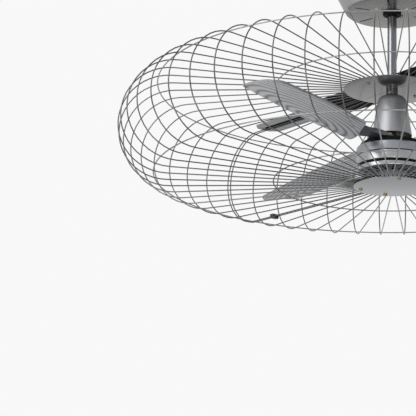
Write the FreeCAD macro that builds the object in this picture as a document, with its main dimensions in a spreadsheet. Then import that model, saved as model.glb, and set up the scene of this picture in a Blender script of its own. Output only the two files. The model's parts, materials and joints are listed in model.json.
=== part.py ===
import FreeCAD, Part
import math
import operator
import os

import Sketcher
from FreeCAD import Placement, Rotation, Vector

# A three-bladed ceiling fan inside a split wire cage, in millimetres and degrees.
# The origin is on the ceiling above the downrod, +Z points up and the cage splits along X.

DIMENSIONS = {
    # ceiling bracket, a bent strap that runs along Y
    "strap_width": 40.0,
    "strap_thickness": 3.0,
    "strap_depth": 36.0,
    "strap_bay": 72.0,
    "strap_length": 132.0,
    "ceiling_hole_spacing": 100.0,
    "ceiling_slot_width": 6.0,
    "ceiling_slot_length": 16.0,
    # hanger ball and downrod
    "ball_radius": 17.0,
    "ball_seat_radius": 13.5,
    "ball_height": 24.0,
    "rod_radius": 10.4,
    "rod_wall": 2.2,
    "rod_above_ball": 15.0,
    "pin_radius": 3.0,
    "hanger_pin_length": 30.0,
    # canopy and its rubber collar
    "canopy_depth": 46.0,
    "canopy_wall": 2.4,
    "canopy_rim_radius": 127.0,
    "canopy_base_radius": 104.5,
    "canopy_flat_radius": 96.0,
    "canopy_bevel": 7.0,
    "canopy_slot_start": 54.0,
    "canopy_slot_length": 36.0,
    "canopy_slot_width": 4.0,
    "canopy_slot_turn": 12.0,
    "canopy_screw_spacing": 56.0,
    "collar_radius": 20.5,
    "collar_height": 6.0,
    # cage: round wires drawn as square bars of the same area, with heights taken from its middle
    "cage_depth": 328.3,
    "bend_radius": 109.0,
    "bend_centre_radius": 481.0,
    "wire": 2.7,
    "seam_gap": 8.0,
    "top_dish": 3.7,
    "bottom_dish": 4.1,
    "top_wire_start": 92.0,
    "bottom_wire_start": 68.0,
    "outer_ring_reach": 36.0,
    "inner_ring_radius": 260.0,
    # plates that hold the ends of the wires
    "plate": 1.5,
    "plate_seam": 1.0,
    "top_plate_radius": 106.0,
    "plate_screw_circle": 70.0,
    "bottom_plate_radius": 80.0,
    "bottom_cover_radius": 84.0,
    "cover_screw_circle": 72.0,
    "cover_screw_turn": 30.0,
    "cage_strap_length": 160.0,
    "cage_strap_width": 28.0,
    "cage_strap_thickness": 3.0,
    "clip_width": 6.0,
    "clip_band": 1.6,
    "clip_circle": 410.0,
    # arms on top of the cage, each with a raised rib along the seam
    "arm_start": 80.0,
    "arm_root_width": 108.0,
    "arm_shoulder": 165.0,
    "arm_neck": 290.0,
    "arm_width": 72.0,
    "arm_end_inset": 21.0,
    "arm_corner": 18.0,
    "arm_thickness": 2.0,
    "rib_start": 300.0,
    "rib_width": 24.0,
    "rib_height": 7.0,
    "rib_wall": 1.6,
    # coupler and its cone cover
    "coupler_radius": 13.0,
    "coupler_foot_radius": 17.0,
    "coupler_end_rise": 28.3,
    "shaft_grip": 38.0,
    "rod_screw_drop": 7.5,
    "shaft_screw_rise": 16.0,
    "coupler_screw_turn": -60.0,
    "cone_top_rise": 83.3,
    "cone_height": 87.0,
    "cone_step_drop": 45.0,
    "cone_top_radius": 30.5,
    "cone_bottom_radius": 44.0,
    "cone_wall": 2.0,
    # motor: a still shaft and stator inside a turning drum
    "shaft_radius": 8.0,
    "shaft_clearance": 2.0,
    "drum_radius": 78.0,
    "drum_top_drop": 31.7,
    "lid_height": 21.0,
    "band_height": 22.0,
    "drum_groove": 5.0,
    "drum_neck_radius": 75.0,
    "drum_lip_radius": 76.0,
    "cap_height": 15.0,
    "bearing_radius": 16.0,
    "bearing_width": 9.0,
    "vent_slot_start": 32.0,
    "vent_slot_length": 34.0,
    "vent_slot_width": 5.5,
    "core_radius": 54.0,
    "core_yoke_radius": 26.0,
    "core_height": 14.0,
    "tooth_width": 11.0,
    "coil_thickness": 3.0,
    "coil_share": 0.6,
    "air_gap": 0.8,
    # blades on a flange above the drum
    "flange_radius": 66.0,
    "flange_height": 11.0,
    "first_blade_turn": 49.4,
    "blade_root_radius": 108.0,
    "blade_pad_radius": 160.0,
    "blade_middle_radius": 320.0,
    "blade_tip_clearance": 49.0,
    "blade_tip_corner": 26.0,
    "blade_root_corner": 18.0,
    "blade_root_slant": 24.0,
    "blade_tip_slant": 20.0,
    "blade_root_chord": 56.0,
    "blade_tip_chord": 94.0,
    "blade_root_shift": -15.0,
    "blade_tip_shift": 0.0,
    "blade_root_pitch": 27.0,
    "blade_middle_pitch": 11.0,
    "blade_tip_pitch": -7.0,
    "blade_root_drop": 1.0,
    "blade_droop": 10.0,
    "blade_thickness": 5.0,
    "iron_thickness": 3.0,
    "iron_start": 44.0,
    "iron_foot_width": 62.0,
    "iron_foot_end": 72.0,
    "iron_neck_width": 30.0,
    "iron_neck_height": 12.0,
    "iron_pad_start": 98.0,
    "iron_pad_width": 44.0,
    "iron_screw_circle": 57.0,
    "iron_screw_turn": 24.0,
    "blade_screw_spacing": 26.0,
    # screws, shared by the groups that use them
    "screw_radius": 2.0,
    "screw_head_radius": 4.2,
    "screw_head": 2.6,
    # clearances
    "seat": 0.05,
    "fit": 0.05,
    "hole_clearance": 0.4,
}

# How many there are of what repeats

WIRES_PER_HALF = 29
BEND_FACETS = 6
RING_FACETS = 14
CANOPY_SLOTS = 6
VENT_SLOTS = 18
CORE_TEETH = 9
MAGNETS = 18
BEARING_FACETS = 24
BLADES = 3
ROUNDING_EDGES = 4


class Size:
    """A number together with the sheet formula that gives it."""

    def __init__(self, value, formula):
        self.value = value
        self.formula = formula

    def __add__(self, other):
        return joined(self, "+", other)

    def __radd__(self, other):
        return joined(other, "+", self)

    def __sub__(self, other):
        return joined(self, "-", other)

    def __rsub__(self, other):
        return joined(other, "-", self)

    def __mul__(self, other):
        return joined(self, "*", other)

    def __rmul__(self, other):
        return joined(other, "*", self)

    def __truediv__(self, other):
        return joined(self, "/", other)

    def __rtruediv__(self, other):
        return joined(other, "/", self)

    def __neg__(self):
        return joined(0.0, "-", self)


OPERATORS = {"+": operator.add, "-": operator.sub, "*": operator.mul, "/": operator.truediv}


def as_size(number):
    """Returns a Size for a plain number, and a Size as it is."""
    if isinstance(number, Size):
        return number
    return Size(float(number), repr(float(number)))


def joined(left, sign, right):
    """Returns the Size of two numbers joined by an arithmetic sign."""
    left = as_size(left)
    right = as_size(right)
    value = OPERATORS[sign](left.value, right.value)
    return Size(value, f"({left.formula} {sign} {right.formula})")


def sine(angle):
    """Returns the sine of an angle in degrees."""
    angle = as_size(angle)
    return Size(math.sin(math.radians(angle.value)), f"sin({angle.formula})")


def cosine(angle):
    """Returns the cosine of an angle in degrees."""
    angle = as_size(angle)
    return Size(math.cos(math.radians(angle.value)), f"cos({angle.formula})")


def arc_tangent(number):
    """Returns the angle in degrees that has this tangent."""
    number = as_size(number)
    return Size(math.degrees(math.atan(number.value)), f"(atan({number.formula}) / 1 deg)")


class Dimensions:
    """The sheet of driving dimensions, each read as a Size by its name."""

    def __init__(self, document, values):
        self.sheet = document.addObject("Spreadsheet::Sheet", "dims")
        for row, (alias, value) in enumerate(values.items(), start=1):
            self.sheet.set(f"A{row}", alias)
            self.sheet.set(f"B{row}", str(value))
            self.sheet.setAlias(f"B{row}", alias)
        document.recompute()

    def __getattr__(self, alias):
        return Size(float(self.sheet.get(alias)), f"dims.{alias}")


doc = FreeCAD.newDocument("CeilingFan")
d = Dimensions(doc, DIMENSIONS)
pieces = []


def bind(thing, place, size):
    """Ties one property of an object to the sheet."""
    thing.setExpression(place, as_size(size).formula)


def keep(thing, label):
    """Names a finished piece and puts it on the list that is written out."""
    thing.Label = label
    pieces.append(thing)
    return thing


# Sketches and the features made from them


def origin_of(body, role):
    """Returns a plane or an axis of the body's own origin."""
    return next(item for item in body.Origin.OriginFeatures if item.Role == role)


def new_body(name):
    """Returns an empty body."""
    return doc.addObject("PartDesign::Body", name)


def new_sketch(body, plane, offset=0.0, turn=0.0, axis=(0, 0, 1)):
    """Returns a sketch on one of the body's planes, set off along its normal and turned."""
    sketch = body.newObject("Sketcher::SketchObject", "Outline")
    sketch.AttachmentSupport = [(origin_of(body, plane), "")]
    sketch.MapMode = "FlatFace"
    turn = as_size(turn)
    sketch.AttachmentOffset = Placement(Vector(0, 0, 0), Rotation(Vector(*axis), turn.value))
    bind(sketch, "AttachmentOffset.Base.z", offset)
    if turn.value:
        bind(sketch, "AttachmentOffset.Rotation.Angle", turn)
    return sketch


def pin(sketch, edge, end, place):
    """Ties one end of a sketch edge to its two coordinates."""
    for kind, size in zip(("DistanceX", "DistanceY"), place):
        size = as_size(size)
        index = sketch.addConstraint(Sketcher.Constraint(kind, -1, 1, edge, end, size.value))
        bind(sketch, f"Constraints[{index}]", size)


def draw(sketch, corners, closed=True):
    """Draws straight edges through the corners."""
    points = [Vector(as_size(x).value, as_size(y).value, 0) for x, y in corners]
    first = sketch.GeometryCount
    edges = len(points) if closed else len(points) - 1
    for k in range(edges):
        sketch.addGeometry(Part.LineSegment(points[k], points[(k + 1) % len(points)]))
    for k in range(edges if closed else edges - 1):
        following = first + (k + 1) % edges
        sketch.addConstraint(Sketcher.Constraint("Coincident", first + k, 2, following, 1))
    for k in range(edges):
        pin(sketch, first + k, 1, corners[k])
    if not closed:
        pin(sketch, first + edges - 1, 2, corners[-1])


def circle(sketch, x, y, radius):
    """Draws a circle whose centre and radius follow the sheet."""
    x, y, radius = as_size(x), as_size(y), as_size(radius)
    centre = Vector(x.value, y.value, 0)
    index = sketch.addGeometry(Part.Circle(centre, Vector(0, 0, 1), radius.value))
    pin(sketch, index, 3, (x, y))
    size = sketch.addConstraint(Sketcher.Constraint("Radius", index, radius.value))
    bind(sketch, f"Constraints[{size}]", radius)


def rectangle(sketch, x, y, length, width):
    """Draws a rectangle about its centre."""
    corners = []
    for a, b in ((-1, -1), (1, -1), (1, 1), (-1, 1)):
        corners.append((x + length * (a / 2), y + width * (b / 2)))
    draw(sketch, corners)


def hexagon(sketch, x, y, radius):
    """Draws a six-sided hole about its centre, with a clear radius for a screw."""
    corners = []
    for k in range(6):
        corners.append((x + radius * cosine(60 * k), y + radius * sine(60 * k)))
    draw(sketch, corners)


def turned(body, corners):
    """Turns a profile of radius and height about Z."""
    sketch = new_sketch(body, "XZ_Plane")
    draw(sketch, corners)
    feature = body.newObject("PartDesign::Revolution", "Turned")
    feature.Profile = sketch
    feature.ReferenceAxis = (sketch, ["V_Axis"])
    feature.Angle = 360
    return feature


def padded(body, sketch, length, symmetric=False):
    """Pads a sketch along its normal, or to both sides of it."""
    feature = body.newObject("PartDesign::Pad", "Padded")
    feature.Profile = sketch
    bind(feature, "Length", length)
    if symmetric:
        feature.SideType = "Symmetric"
    return feature


def cut_through(body, sketch):
    """Cuts a sketch right through the body, to both sides of its plane."""
    feature = body.newObject("PartDesign::Pocket", "Cut")
    feature.Profile = sketch
    feature.Type = "ThroughAll"
    feature.SideType = "Symmetric"
    return feature


def hollowed(body, sketch, depth):
    """Cuts a sketch into the body along its normal."""
    feature = body.newObject("PartDesign::Pocket", "Hollow")
    feature.Profile = sketch
    bind(feature, "Length", depth)
    feature.Reversed = True
    return feature


def lofted(body, sections):
    """Lofts straight between sections."""
    feature = body.newObject("PartDesign::AdditiveLoft", "Lofted")
    feature.Profile = sections[0]
    feature.Sections = sections[1:]
    feature.Ruled = True
    return feature


def patterned(body, feature, count, angle=360.0):
    """Repeats a feature about Z over an angle."""
    pattern = body.newObject("PartDesign::PolarPattern", "Repeated")
    pattern.Originals = [feature]
    pattern.Axis = (origin_of(body, "Z_Axis"), [""])
    pattern.Angle = angle
    pattern.Occurrences = count
    body.Tip = pattern
    return pattern


# Solids made from plain shapes


def cylinder(radius, low, high):
    """Returns an upright cylinder between two heights."""
    solid = doc.addObject("Part::Cylinder", "Cylinder")
    bind(solid, "Radius", radius)
    bind(solid, "Height", high - low)
    bind(solid, "Placement.Base.z", low)
    return solid


def prism(sides, radius, low, high):
    """Returns an upright prism with a regular outline between two heights."""
    solid = doc.addObject("Part::Prism", "Prism")
    solid.Polygon = sides
    bind(solid, "Circumradius", radius)
    bind(solid, "Height", high - low)
    bind(solid, "Placement.Base.z", low)
    return solid


def cross_pin(radius, length, z):
    """Returns a six-sided pin that lies along X through the axis."""
    solid = doc.addObject("Part::Prism", "CrossPin")
    solid.Polygon = 6
    bind(solid, "Circumradius", radius)
    bind(solid, "Height", length)
    solid.Placement = Placement(Vector(0, 0, 0), Rotation(Vector(0, 1, 0), 90))
    bind(solid, "Placement.Base.x", length / -2)
    bind(solid, "Placement.Base.z", z)
    return solid


def block(length, width, height, z):
    """Returns a box centred on the axis with its underside at a height."""
    solid = doc.addObject("Part::Box", "Block")
    bind(solid, "Length", length)
    bind(solid, "Width", width)
    bind(solid, "Height", height)
    bind(solid, "Placement.Base.x", length / -2)
    bind(solid, "Placement.Base.y", width / -2)
    bind(solid, "Placement.Base.z", z)
    return solid


def cut(base, tool):
    """Returns the base less the tool."""
    solid = doc.addObject("Part::Cut", "Less")
    solid.Base = base
    solid.Tool = tool
    return solid


def fused(*solids):
    """Returns solids joined into one."""
    solid = doc.addObject("Part::MultiFuse", "Joined")
    solid.Shapes = list(solids)
    return solid


def screw_head():
    """Returns a six-sided screw head on Z, with its bearing face at zero and its top above."""
    return prism(6, d.screw_head_radius, as_size(0), d.screw_head)


def group(label, master, places):
    """Makes one piece from equal solids at several placements."""
    doc.recompute()
    copies = []
    for place in places:
        copy = master.Shape.copy()
        copy.Placement = place.multiply(copy.Placement)
        copies.append(copy)
    piece = doc.addObject("Part::Feature", "Group")
    piece.Shape = Part.makeCompound(copies)
    return keep(piece, label)


def around(radius, angle, height):
    """Returns a placement at a radius and an angle about Z."""
    turn = Rotation(Vector(0, 0, 1), angle)
    return Placement(turn.multVec(Vector(radius, 0, height)), turn)


# Heights and radii that several pieces share, heights being below the ceiling

seat_top = d.strap_thickness - d.strap_depth
ball_centre = seat_top + d.ball_height / 2
top_wire_end = d.bend_radius - d.top_dish - d.cage_depth
bottom_wire_end = -d.bend_radius - d.bottom_dish - d.cage_depth
plate_top = top_wire_end - d.wire / 2 - d.seat
plate_underside = plate_top - d.plate
half_top = bottom_wire_end - d.wire / 2 - d.seat
half_underside = half_top - d.plate
cover_underside = half_underside - d.plate
coupler_end = d.coupler_end_rise - d.cage_depth
rod_end = coupler_end + d.shaft_grip
cone_top = d.cone_top_rise - d.cage_depth
cone_low = cone_top - d.cone_height
cone_seat = cone_top - d.cone_wall
drum_top = -d.drum_top_drop - d.cage_depth
drum_split = drum_top - d.lid_height
drum_band = drum_split - d.band_height
drum_end = drum_band - d.cap_height
flange_top = drum_top + d.flange_height
outer_ring = d.bend_centre_radius + d.outer_ring_reach
blade_tip = d.bend_centre_radius + d.bend_radius - d.blade_tip_clearance
blade_root_height = flange_top - d.blade_root_drop
blade_tip_height = blade_root_height - d.blade_droop
bearing_seat = d.bearing_radius + d.fit
shaft_hole = d.shaft_radius + d.shaft_clearance


# Ceiling bracket, hanger ball, downrod and canopy


def make_ceiling_bracket():
    """A strap bent down to a seat for the ball, with a slotted foot on each side."""
    body = new_body("CeilingBracket")
    bay = d.strap_bay / 2
    foot = d.strap_length / 2
    sketch = new_sketch(body, "YZ_Plane")
    draw(
        sketch,
        [
            (-foot, 0),
            (-foot, -d.strap_thickness),
            (-bay, -d.strap_thickness),
            (-bay, -d.strap_depth),
            (bay, -d.strap_depth),
            (bay, -d.strap_thickness),
            (foot, -d.strap_thickness),
            (foot, 0),
            (bay - d.strap_thickness, 0),
            (bay - d.strap_thickness, seat_top),
            (d.strap_thickness - bay, seat_top),
            (d.strap_thickness - bay, 0),
        ],
    )
    padded(body, sketch, d.strap_width, symmetric=True)
    holes = new_sketch(body, "XY_Plane")
    slot_ends = new_sketch(body, "XY_Plane")
    circle(holes, 0, 0, d.ball_seat_radius)
    straight = d.ceiling_slot_length - d.ceiling_slot_width
    for side in (-1, 1):
        slot_centre = d.ceiling_hole_spacing * (side / 2)
        rectangle(holes, 0, slot_centre, d.ceiling_slot_width, straight)
        for end in (-1, 1):
            circle(slot_ends, 0, slot_centre + straight * (end / 2), d.ceiling_slot_width / 2)
        hexagon(holes, 0, d.canopy_screw_spacing * (side / 2), d.screw_radius + d.hole_clearance)
    cut_through(body, holes)
    cut_through(body, slot_ends)
    keep(body, "ceiling_bracket")


def make_hanger():
    """The ball that sits in the bracket, its pin and the tube that hangs from it."""
    low = ball_centre - d.ball_height / 2
    high = ball_centre + d.ball_height / 2
    ball = cut(
        cylinder(d.ball_radius, low, high),
        cylinder(d.rod_radius + d.fit, low - 1, high + 1),
    )
    hole = cross_pin(d.pin_radius + d.hole_clearance, d.ball_radius * 4, ball_centre)
    keep(cut(ball, hole), "hanger_ball")
    keep(cross_pin(d.pin_radius, d.hanger_pin_length, ball_centre), "hanger_pin")

    low = rod_end
    high = ball_centre + d.rod_above_ball
    tube = cut(
        cylinder(d.rod_radius, low, high),
        cylinder(d.rod_radius - d.rod_wall, low - 1, high + 1),
    )
    hole = cross_pin(d.pin_radius + d.hole_clearance, d.rod_radius * 4, ball_centre)
    keep(cut(tube, hole), "downrod")


def make_canopy():
    """A dished cover under the ceiling with radial slots round the rod, its collar and screws."""
    body = new_body("Canopy")
    low = -d.canopy_depth
    hole = d.rod_radius + d.hole_clearance
    turned(
        body,
        [
            (hole, low),
            (d.canopy_flat_radius, low),
            (d.canopy_base_radius, low + d.canopy_bevel),
            (d.canopy_rim_radius, 0),
            (d.canopy_rim_radius - d.canopy_wall, 0),
            (d.canopy_flat_radius, low + d.canopy_wall),
            (hole, low + d.canopy_wall),
        ],
    )
    slot = new_sketch(body, "XY_Plane", turn=d.canopy_slot_turn)
    middle = d.canopy_slot_start + d.canopy_slot_length / 2
    rectangle(slot, middle, 0, d.canopy_slot_length, d.canopy_slot_width)
    patterned(body, cut_through(body, slot), CANOPY_SLOTS)
    holes = new_sketch(body, "XY_Plane")
    for side in (-1, 1):
        hexagon(holes, 0, d.canopy_screw_spacing * (side / 2), d.screw_radius + d.hole_clearance)
    cut_through(body, holes)
    keep(body, "canopy")

    top = low - d.seat
    collar = cut(
        cylinder(d.collar_radius, top - d.collar_height, top),
        cylinder(d.rod_radius + d.fit, top - d.collar_height - 1, top + 1),
    )
    keep(collar, "canopy_collar")

    grip = as_size(2)
    shank_top = d.canopy_depth - d.strap_depth + d.strap_thickness + grip
    shank = prism(6, d.screw_radius, as_size(0), shank_top)
    head = prism(6, d.screw_head_radius, -d.screw_head, as_size(0))
    places = [around(d.canopy_screw_spacing.value / 2, turn, low.value) for turn in (90, -90)]
    group("canopy_screws", fused(shank, head), places)


# Cage: two equal halves of bent wires, rings and half plates


def place_half(piece, half, gap):
    """Moves a piece to its side of the seam: the rear one is as drawn, the front one turned round."""
    rear = half == "rear"
    piece.Placement = Placement(Vector(0, 0, 0), Rotation(Vector(0, 0, 1), 0 if rear else 180))
    bind(piece, "Placement.Base.y", gap * (0.5 if rear else -0.5))


def make_wires(half):
    """The half's wires, each bent from the top plate round to the bottom plate."""
    body = new_body("CageWires")
    corners = [(d.top_wire_start, top_wire_end)]
    for k in range(BEND_FACETS + 1):
        turn = 180 / BEND_FACETS * k
        corners.append(
            (
                d.bend_centre_radius + d.bend_radius * sine(turn),
                d.bend_radius * cosine(turn) - d.cage_depth,
            )
        )
    corners.append((d.bottom_wire_start, bottom_wire_end))
    path = new_sketch(body, "XZ_Plane")
    draw(path, corners, closed=False)
    section = new_sketch(body, "YZ_Plane", offset=d.top_wire_start)
    rectangle(section, 0, top_wire_end, d.wire, d.wire)
    wire = body.newObject("PartDesign::AdditivePipe", "Wire")
    wire.Profile = section
    wire.Spine = path
    wire.Transition = "Right corner"
    patterned(body, wire, WIRES_PER_HALF, 180)
    place_half(body, half, d.seam_gap)
    keep(body, f"cage_wires_{half}")


def wire_dip(dish, start, radius):
    """How far a straight run of wire dips towards the middle at a radius."""
    return dish * (d.bend_centre_radius - radius) / (d.bend_centre_radius - start)


def ring_heights():
    """Names, radii and heights of the rings' middles, each just inside the wires."""
    half_bar = d.wire / 2
    turn = 180 / BEND_FACETS
    slope = (1 - cosine(turn)) / sine(turn)
    reach = outer_ring + half_bar - d.bend_centre_radius
    outer = d.bend_radius - slope * reach - half_bar / cosine(turn / 2) - half_bar - d.seat
    straight = d.bend_radius - d.wire - d.seat
    upper_dip = wire_dip(d.top_dish, d.top_wire_start, d.inner_ring_radius - half_bar)
    lower_dip = wire_dip(d.bottom_dish, d.bottom_wire_start, d.inner_ring_radius + half_bar)
    return {
        "upper_outer_ring": (outer_ring, outer - d.cage_depth),
        "lower_outer_ring": (outer_ring, -outer - d.cage_depth),
        "upper_inner_ring": (d.inner_ring_radius, straight - upper_dip - d.cage_depth),
        "lower_inner_ring": (d.inner_ring_radius, -straight - lower_dip - d.cage_depth),
    }


def make_rings(half):
    """The half rings that are welded inside the wires, straight from every second wire to the next."""
    for name, (radius, height) in ring_heights().items():
        body = new_body("HalfRing")
        sketch = new_sketch(body, "XY_Plane", offset=height - d.wire / 2)
        corners = []
        for edge, turns in ((1, range(RING_FACETS + 1)), (-1, range(RING_FACETS, -1, -1))):
            for k in turns:
                reach = radius + d.wire * (edge / 2)
                turn = 180 / RING_FACETS * k
                corners.append((reach * cosine(turn), reach * sine(turn)))
        draw(sketch, corners)
        padded(body, sketch, d.wire)
        place_half(body, half, d.seam_gap)
        keep(body, f"{name}_{half}")


def make_half_plates(half):
    """The half discs that carry the wires' ends, the top one notched for the coupler."""
    notches = {"top_plate": d.coupler_radius + d.hole_clearance, "bottom_plate": None}
    radii = {"top_plate": d.top_plate_radius, "bottom_plate": d.bottom_plate_radius}
    heights = {"top_plate": plate_underside, "bottom_plate": half_underside}
    for name, notch in notches.items():
        body = new_body("HalfPlate")
        sketch = new_sketch(body, "XY_Plane", offset=heights[name])
        circle(sketch, 0, 0, radii[name])
        if notch is not None:
            circle(sketch, 0, 0, notch)
        padded(body, sketch, d.plate)
        away = new_sketch(body, "XY_Plane")
        rectangle(away, 0, d.plate_seam / 2 - radii[name], radii[name] * 3, radii[name] * 2)
        cut_through(body, away)
        place_half(body, half, as_size(0))
        keep(body, f"{name}_{half}")


def make_plate_fixings():
    """The strap that carries the top plates, the cover under the bottom ones and their screws."""
    bar = block(d.cage_strap_width, d.cage_strap_length, d.cage_strap_thickness, plate_top)
    bore = cylinder(d.rod_radius + d.fit, plate_top - 1, plate_top + d.cage_strap_thickness + 1)
    keep(cut(bar, bore), "cage_strap")
    keep(cylinder(d.bottom_cover_radius, cover_underside, half_underside), "bottom_cover")

    under_plate = plate_underside.value - d.seat.value - d.screw_head.value
    places = [around(d.plate_screw_circle.value, turn, under_plate) for turn in (90, -90)]
    group("plate_screws", screw_head(), places)
    under_cover = cover_underside.value - d.seat.value - d.screw_head.value
    places = []
    for half in (90, 270):
        for side in (-1, 1):
            turn = half + side * (90 - d.cover_screw_turn.value)
            places.append(around(d.cover_screw_circle.value, turn, under_cover))
    group("cover_screws", screw_head(), places)


def make_clips():
    """Bands that tie the two halves' end wires together under the cage, one on each seam."""
    dip = wire_dip(d.bottom_dish, d.bottom_wire_start, d.clip_circle)
    middle = -d.cage_depth - d.bend_radius - dip
    width = d.seam_gap + d.wire + d.hole_clearance
    height = d.wire + d.hole_clearance
    low = middle - height / 2
    band = d.clip_band * 2
    outside = block(d.clip_width, width + band, height + band, low - d.clip_band)
    inside = block(d.clip_width * 2, width, height, low)
    places = [around(d.clip_circle.value, turn, 0) for turn in (0, 180)]
    group("seam_clips", cut(outside, inside), places)


def make_seam_arm(side, turn):
    """A flat arm that lies on the wires along one seam and ties the two halves, with a hollow rib."""
    body = new_body("SeamArm")
    slope = d.top_dish / (d.bend_centre_radius - d.top_wire_start)
    resting = top_wire_end - d.top_wire_start * slope + d.wire / 2 + d.seat
    tilt = -arc_tangent(slope)
    end = d.bend_centre_radius - d.arm_end_inset
    outline = [
        (d.arm_start, d.arm_root_width / 2),
        (d.arm_shoulder, d.arm_root_width / 2),
        (d.arm_neck, d.arm_width / 2),
        (end - d.arm_corner, d.arm_width / 2),
        (end, d.arm_width / 2 - d.arm_corner),
    ]
    plate = new_sketch(body, "XY_Plane", offset=resting, turn=tilt, axis=(0, 1, 0))
    draw(plate, [(x, -y) for x, y in outline] + outline[::-1])
    padded(body, plate, d.arm_thickness)
    rib_length = end - d.arm_corner - d.rib_start
    rib_middle = d.rib_start + rib_length / 2
    rib = new_sketch(body, "XY_Plane", offset=resting, turn=tilt, axis=(0, 1, 0))
    rectangle(rib, rib_middle, 0, rib_length, d.rib_width)
    padded(body, rib, d.rib_height)
    walls = d.rib_wall * 2
    hollow = new_sketch(body, "XY_Plane", offset=resting, turn=tilt, axis=(0, 1, 0))
    rectangle(hollow, rib_middle, 0, rib_length - walls, d.rib_width - walls)
    hollowed(body, hollow, d.rib_height - d.rib_wall)
    body.Placement = Placement(Vector(0, 0, 0), Rotation(Vector(0, 0, 1), turn))
    keep(body, f"seam_arm_{side}")


# Coupler, cone cover and the still half of the motor


def make_coupler():
    """The sleeve that joins downrod and motor shaft, with a shoulder for the cone and two set screws."""
    body = new_body("Coupler")
    bore = d.rod_radius + d.fit
    low = coupler_end
    turned(
        body,
        [
            (bore, low),
            (d.coupler_foot_radius, low),
            (d.coupler_foot_radius, cone_seat),
            (d.coupler_radius, cone_seat),
            (d.coupler_radius, plate_top),
            (bore, plate_top),
        ],
    )
    keep(body, "coupler")
    outward = Placement(Vector(0, 0, 0), Rotation(Vector(0, 1, 0), 90))
    screws = (
        (d.coupler_radius, plate_underside - d.rod_screw_drop),
        (d.coupler_foot_radius, coupler_end + d.shaft_screw_rise),
    )
    places = []
    for radius, height in screws:
        place = around(radius.value + d.seat.value, d.coupler_screw_turn.value, height.value)
        places.append(place.multiply(outward))
    group("coupler_screws", screw_head(), places)


def make_cone_cover():
    """The cone over the coupler, bored in two steps, which rests on the coupler's shoulder."""
    body = new_body("ConeCover")
    hole = d.coupler_radius + d.hole_clearance
    step = cone_top - d.cone_step_drop
    share = d.cone_step_drop / d.cone_height
    step_radius = d.cone_top_radius + (d.cone_bottom_radius - d.cone_top_radius) * share - d.cone_wall
    upper_radius = d.cone_top_radius - d.cone_wall
    turned(
        body,
        [
            (hole, cone_top),
            (d.cone_top_radius, cone_top),
            (d.cone_bottom_radius, cone_low),
            (step_radius, cone_low),
            (step_radius, step),
            (upper_radius, step),
            (upper_radius, cone_seat),
            (hole, cone_seat),
        ],
    )
    keep(body, "cone_cover")


def make_stator():
    """The fixed shaft with its bearings, the toothed core and a coil round each tooth."""
    body = new_body("MotorShaft")
    end = drum_band - d.bearing_width + d.hole_clearance
    turned(
        body,
        [
            (0, end),
            (d.shaft_radius, end),
            (d.shaft_radius, coupler_end),
            (d.rod_radius, coupler_end),
            (d.rod_radius, rod_end - d.hole_clearance),
            (0, rod_end - d.hole_clearance),
        ],
    )
    keep(body, "motor_shaft")

    bore = (d.shaft_radius + d.fit) / cosine(180 / BEARING_FACETS)
    for name, low in (("upper_bearing", drum_split), ("lower_bearing", drum_band - d.bearing_width)):
        high = low + d.bearing_width
        outside = prism(BEARING_FACETS, d.bearing_radius, low, high)
        inside = prism(BEARING_FACETS, bore, low - 1, high + 1)
        keep(cut(outside, inside), name)

    core = new_body("StatorCore")
    middle = (drum_split + drum_band) / 2
    low = middle - d.core_height / 2
    yoke = new_sketch(core, "XY_Plane", offset=low)
    circle(yoke, 0, 0, d.core_yoke_radius)
    circle(yoke, 0, 0, d.shaft_radius + d.fit)
    padded(core, yoke, d.core_height)
    tooth = new_sketch(core, "XY_Plane", offset=low)
    root_overlap = d.tooth_width / 2
    length = d.core_radius - d.core_yoke_radius + root_overlap
    rectangle(tooth, d.core_radius - length / 2, 0, length, d.tooth_width)
    patterned(core, padded(core, tooth, d.core_height), CORE_TEETH)
    keep(core, "stator_core")

    depth = (d.core_radius - d.core_yoke_radius) * d.coil_share
    width = d.tooth_width + d.hole_clearance
    height = d.core_height + d.hole_clearance
    band = d.coil_thickness * 2
    outside = block(depth, width + band, height + band, -(height + band) / 2)
    inside = block(depth * 2, width, height, -height / 2)
    centre = (d.core_yoke_radius.value + d.core_radius.value) / 2
    places = [around(centre, 360 / CORE_TEETH * k, middle.value) for k in range(CORE_TEETH)]
    group("stator_coils", cut(outside, inside), places)


# The turning half of the motor and the blades


def make_drum():
    """The drum's lid, its rotor with flat magnet faces, the slotted cap and the blade flange."""
    lid = new_body("DrumLid")
    pocket = drum_split + d.bearing_width
    turned(
        lid,
        [
            (bearing_seat, drum_split),
            (d.drum_radius, drum_split),
            (d.drum_radius, drum_top),
            (shaft_hole, drum_top),
            (shaft_hole, pocket),
            (bearing_seat, pocket),
        ],
    )
    keep(lid, "drum_lid")

    magnet_corner = (d.core_radius + d.air_gap) / cosine(180 / MAGNETS)
    rotor = cylinder(d.drum_radius, drum_band, drum_split)
    keep(cut(rotor, prism(MAGNETS, magnet_corner, drum_band - 1, drum_split + 1)), "drum_rotor")

    cap = new_body("DrumCap")
    floor = drum_band - d.bearing_width
    lip = drum_band - d.drum_groove
    turned(
        cap,
        [
            (0, drum_end),
            (d.drum_lip_radius, drum_end),
            (d.drum_lip_radius, lip),
            (d.drum_neck_radius, lip),
            (d.drum_neck_radius, drum_band),
            (bearing_seat, drum_band),
            (bearing_seat, floor),
            (0, floor),
        ],
    )
    slot = new_sketch(cap, "XY_Plane")
    middle = d.vent_slot_start + d.vent_slot_length / 2
    rectangle(slot, middle, 0, d.vent_slot_length, d.vent_slot_width)
    patterned(cap, cut_through(cap, slot), VENT_SLOTS)
    keep(cap, "drum_cap")

    flange = cylinder(d.flange_radius, drum_top, flange_top)
    keep(cut(flange, cylinder(shaft_hole, drum_top - 1, flange_top + 1)), "blade_flange")


def along_blade(root_size, tip_size, share):
    """A size that changes evenly from the end of the iron's pad to the blade's tip."""
    return root_size + (tip_size - root_size) * share


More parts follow.
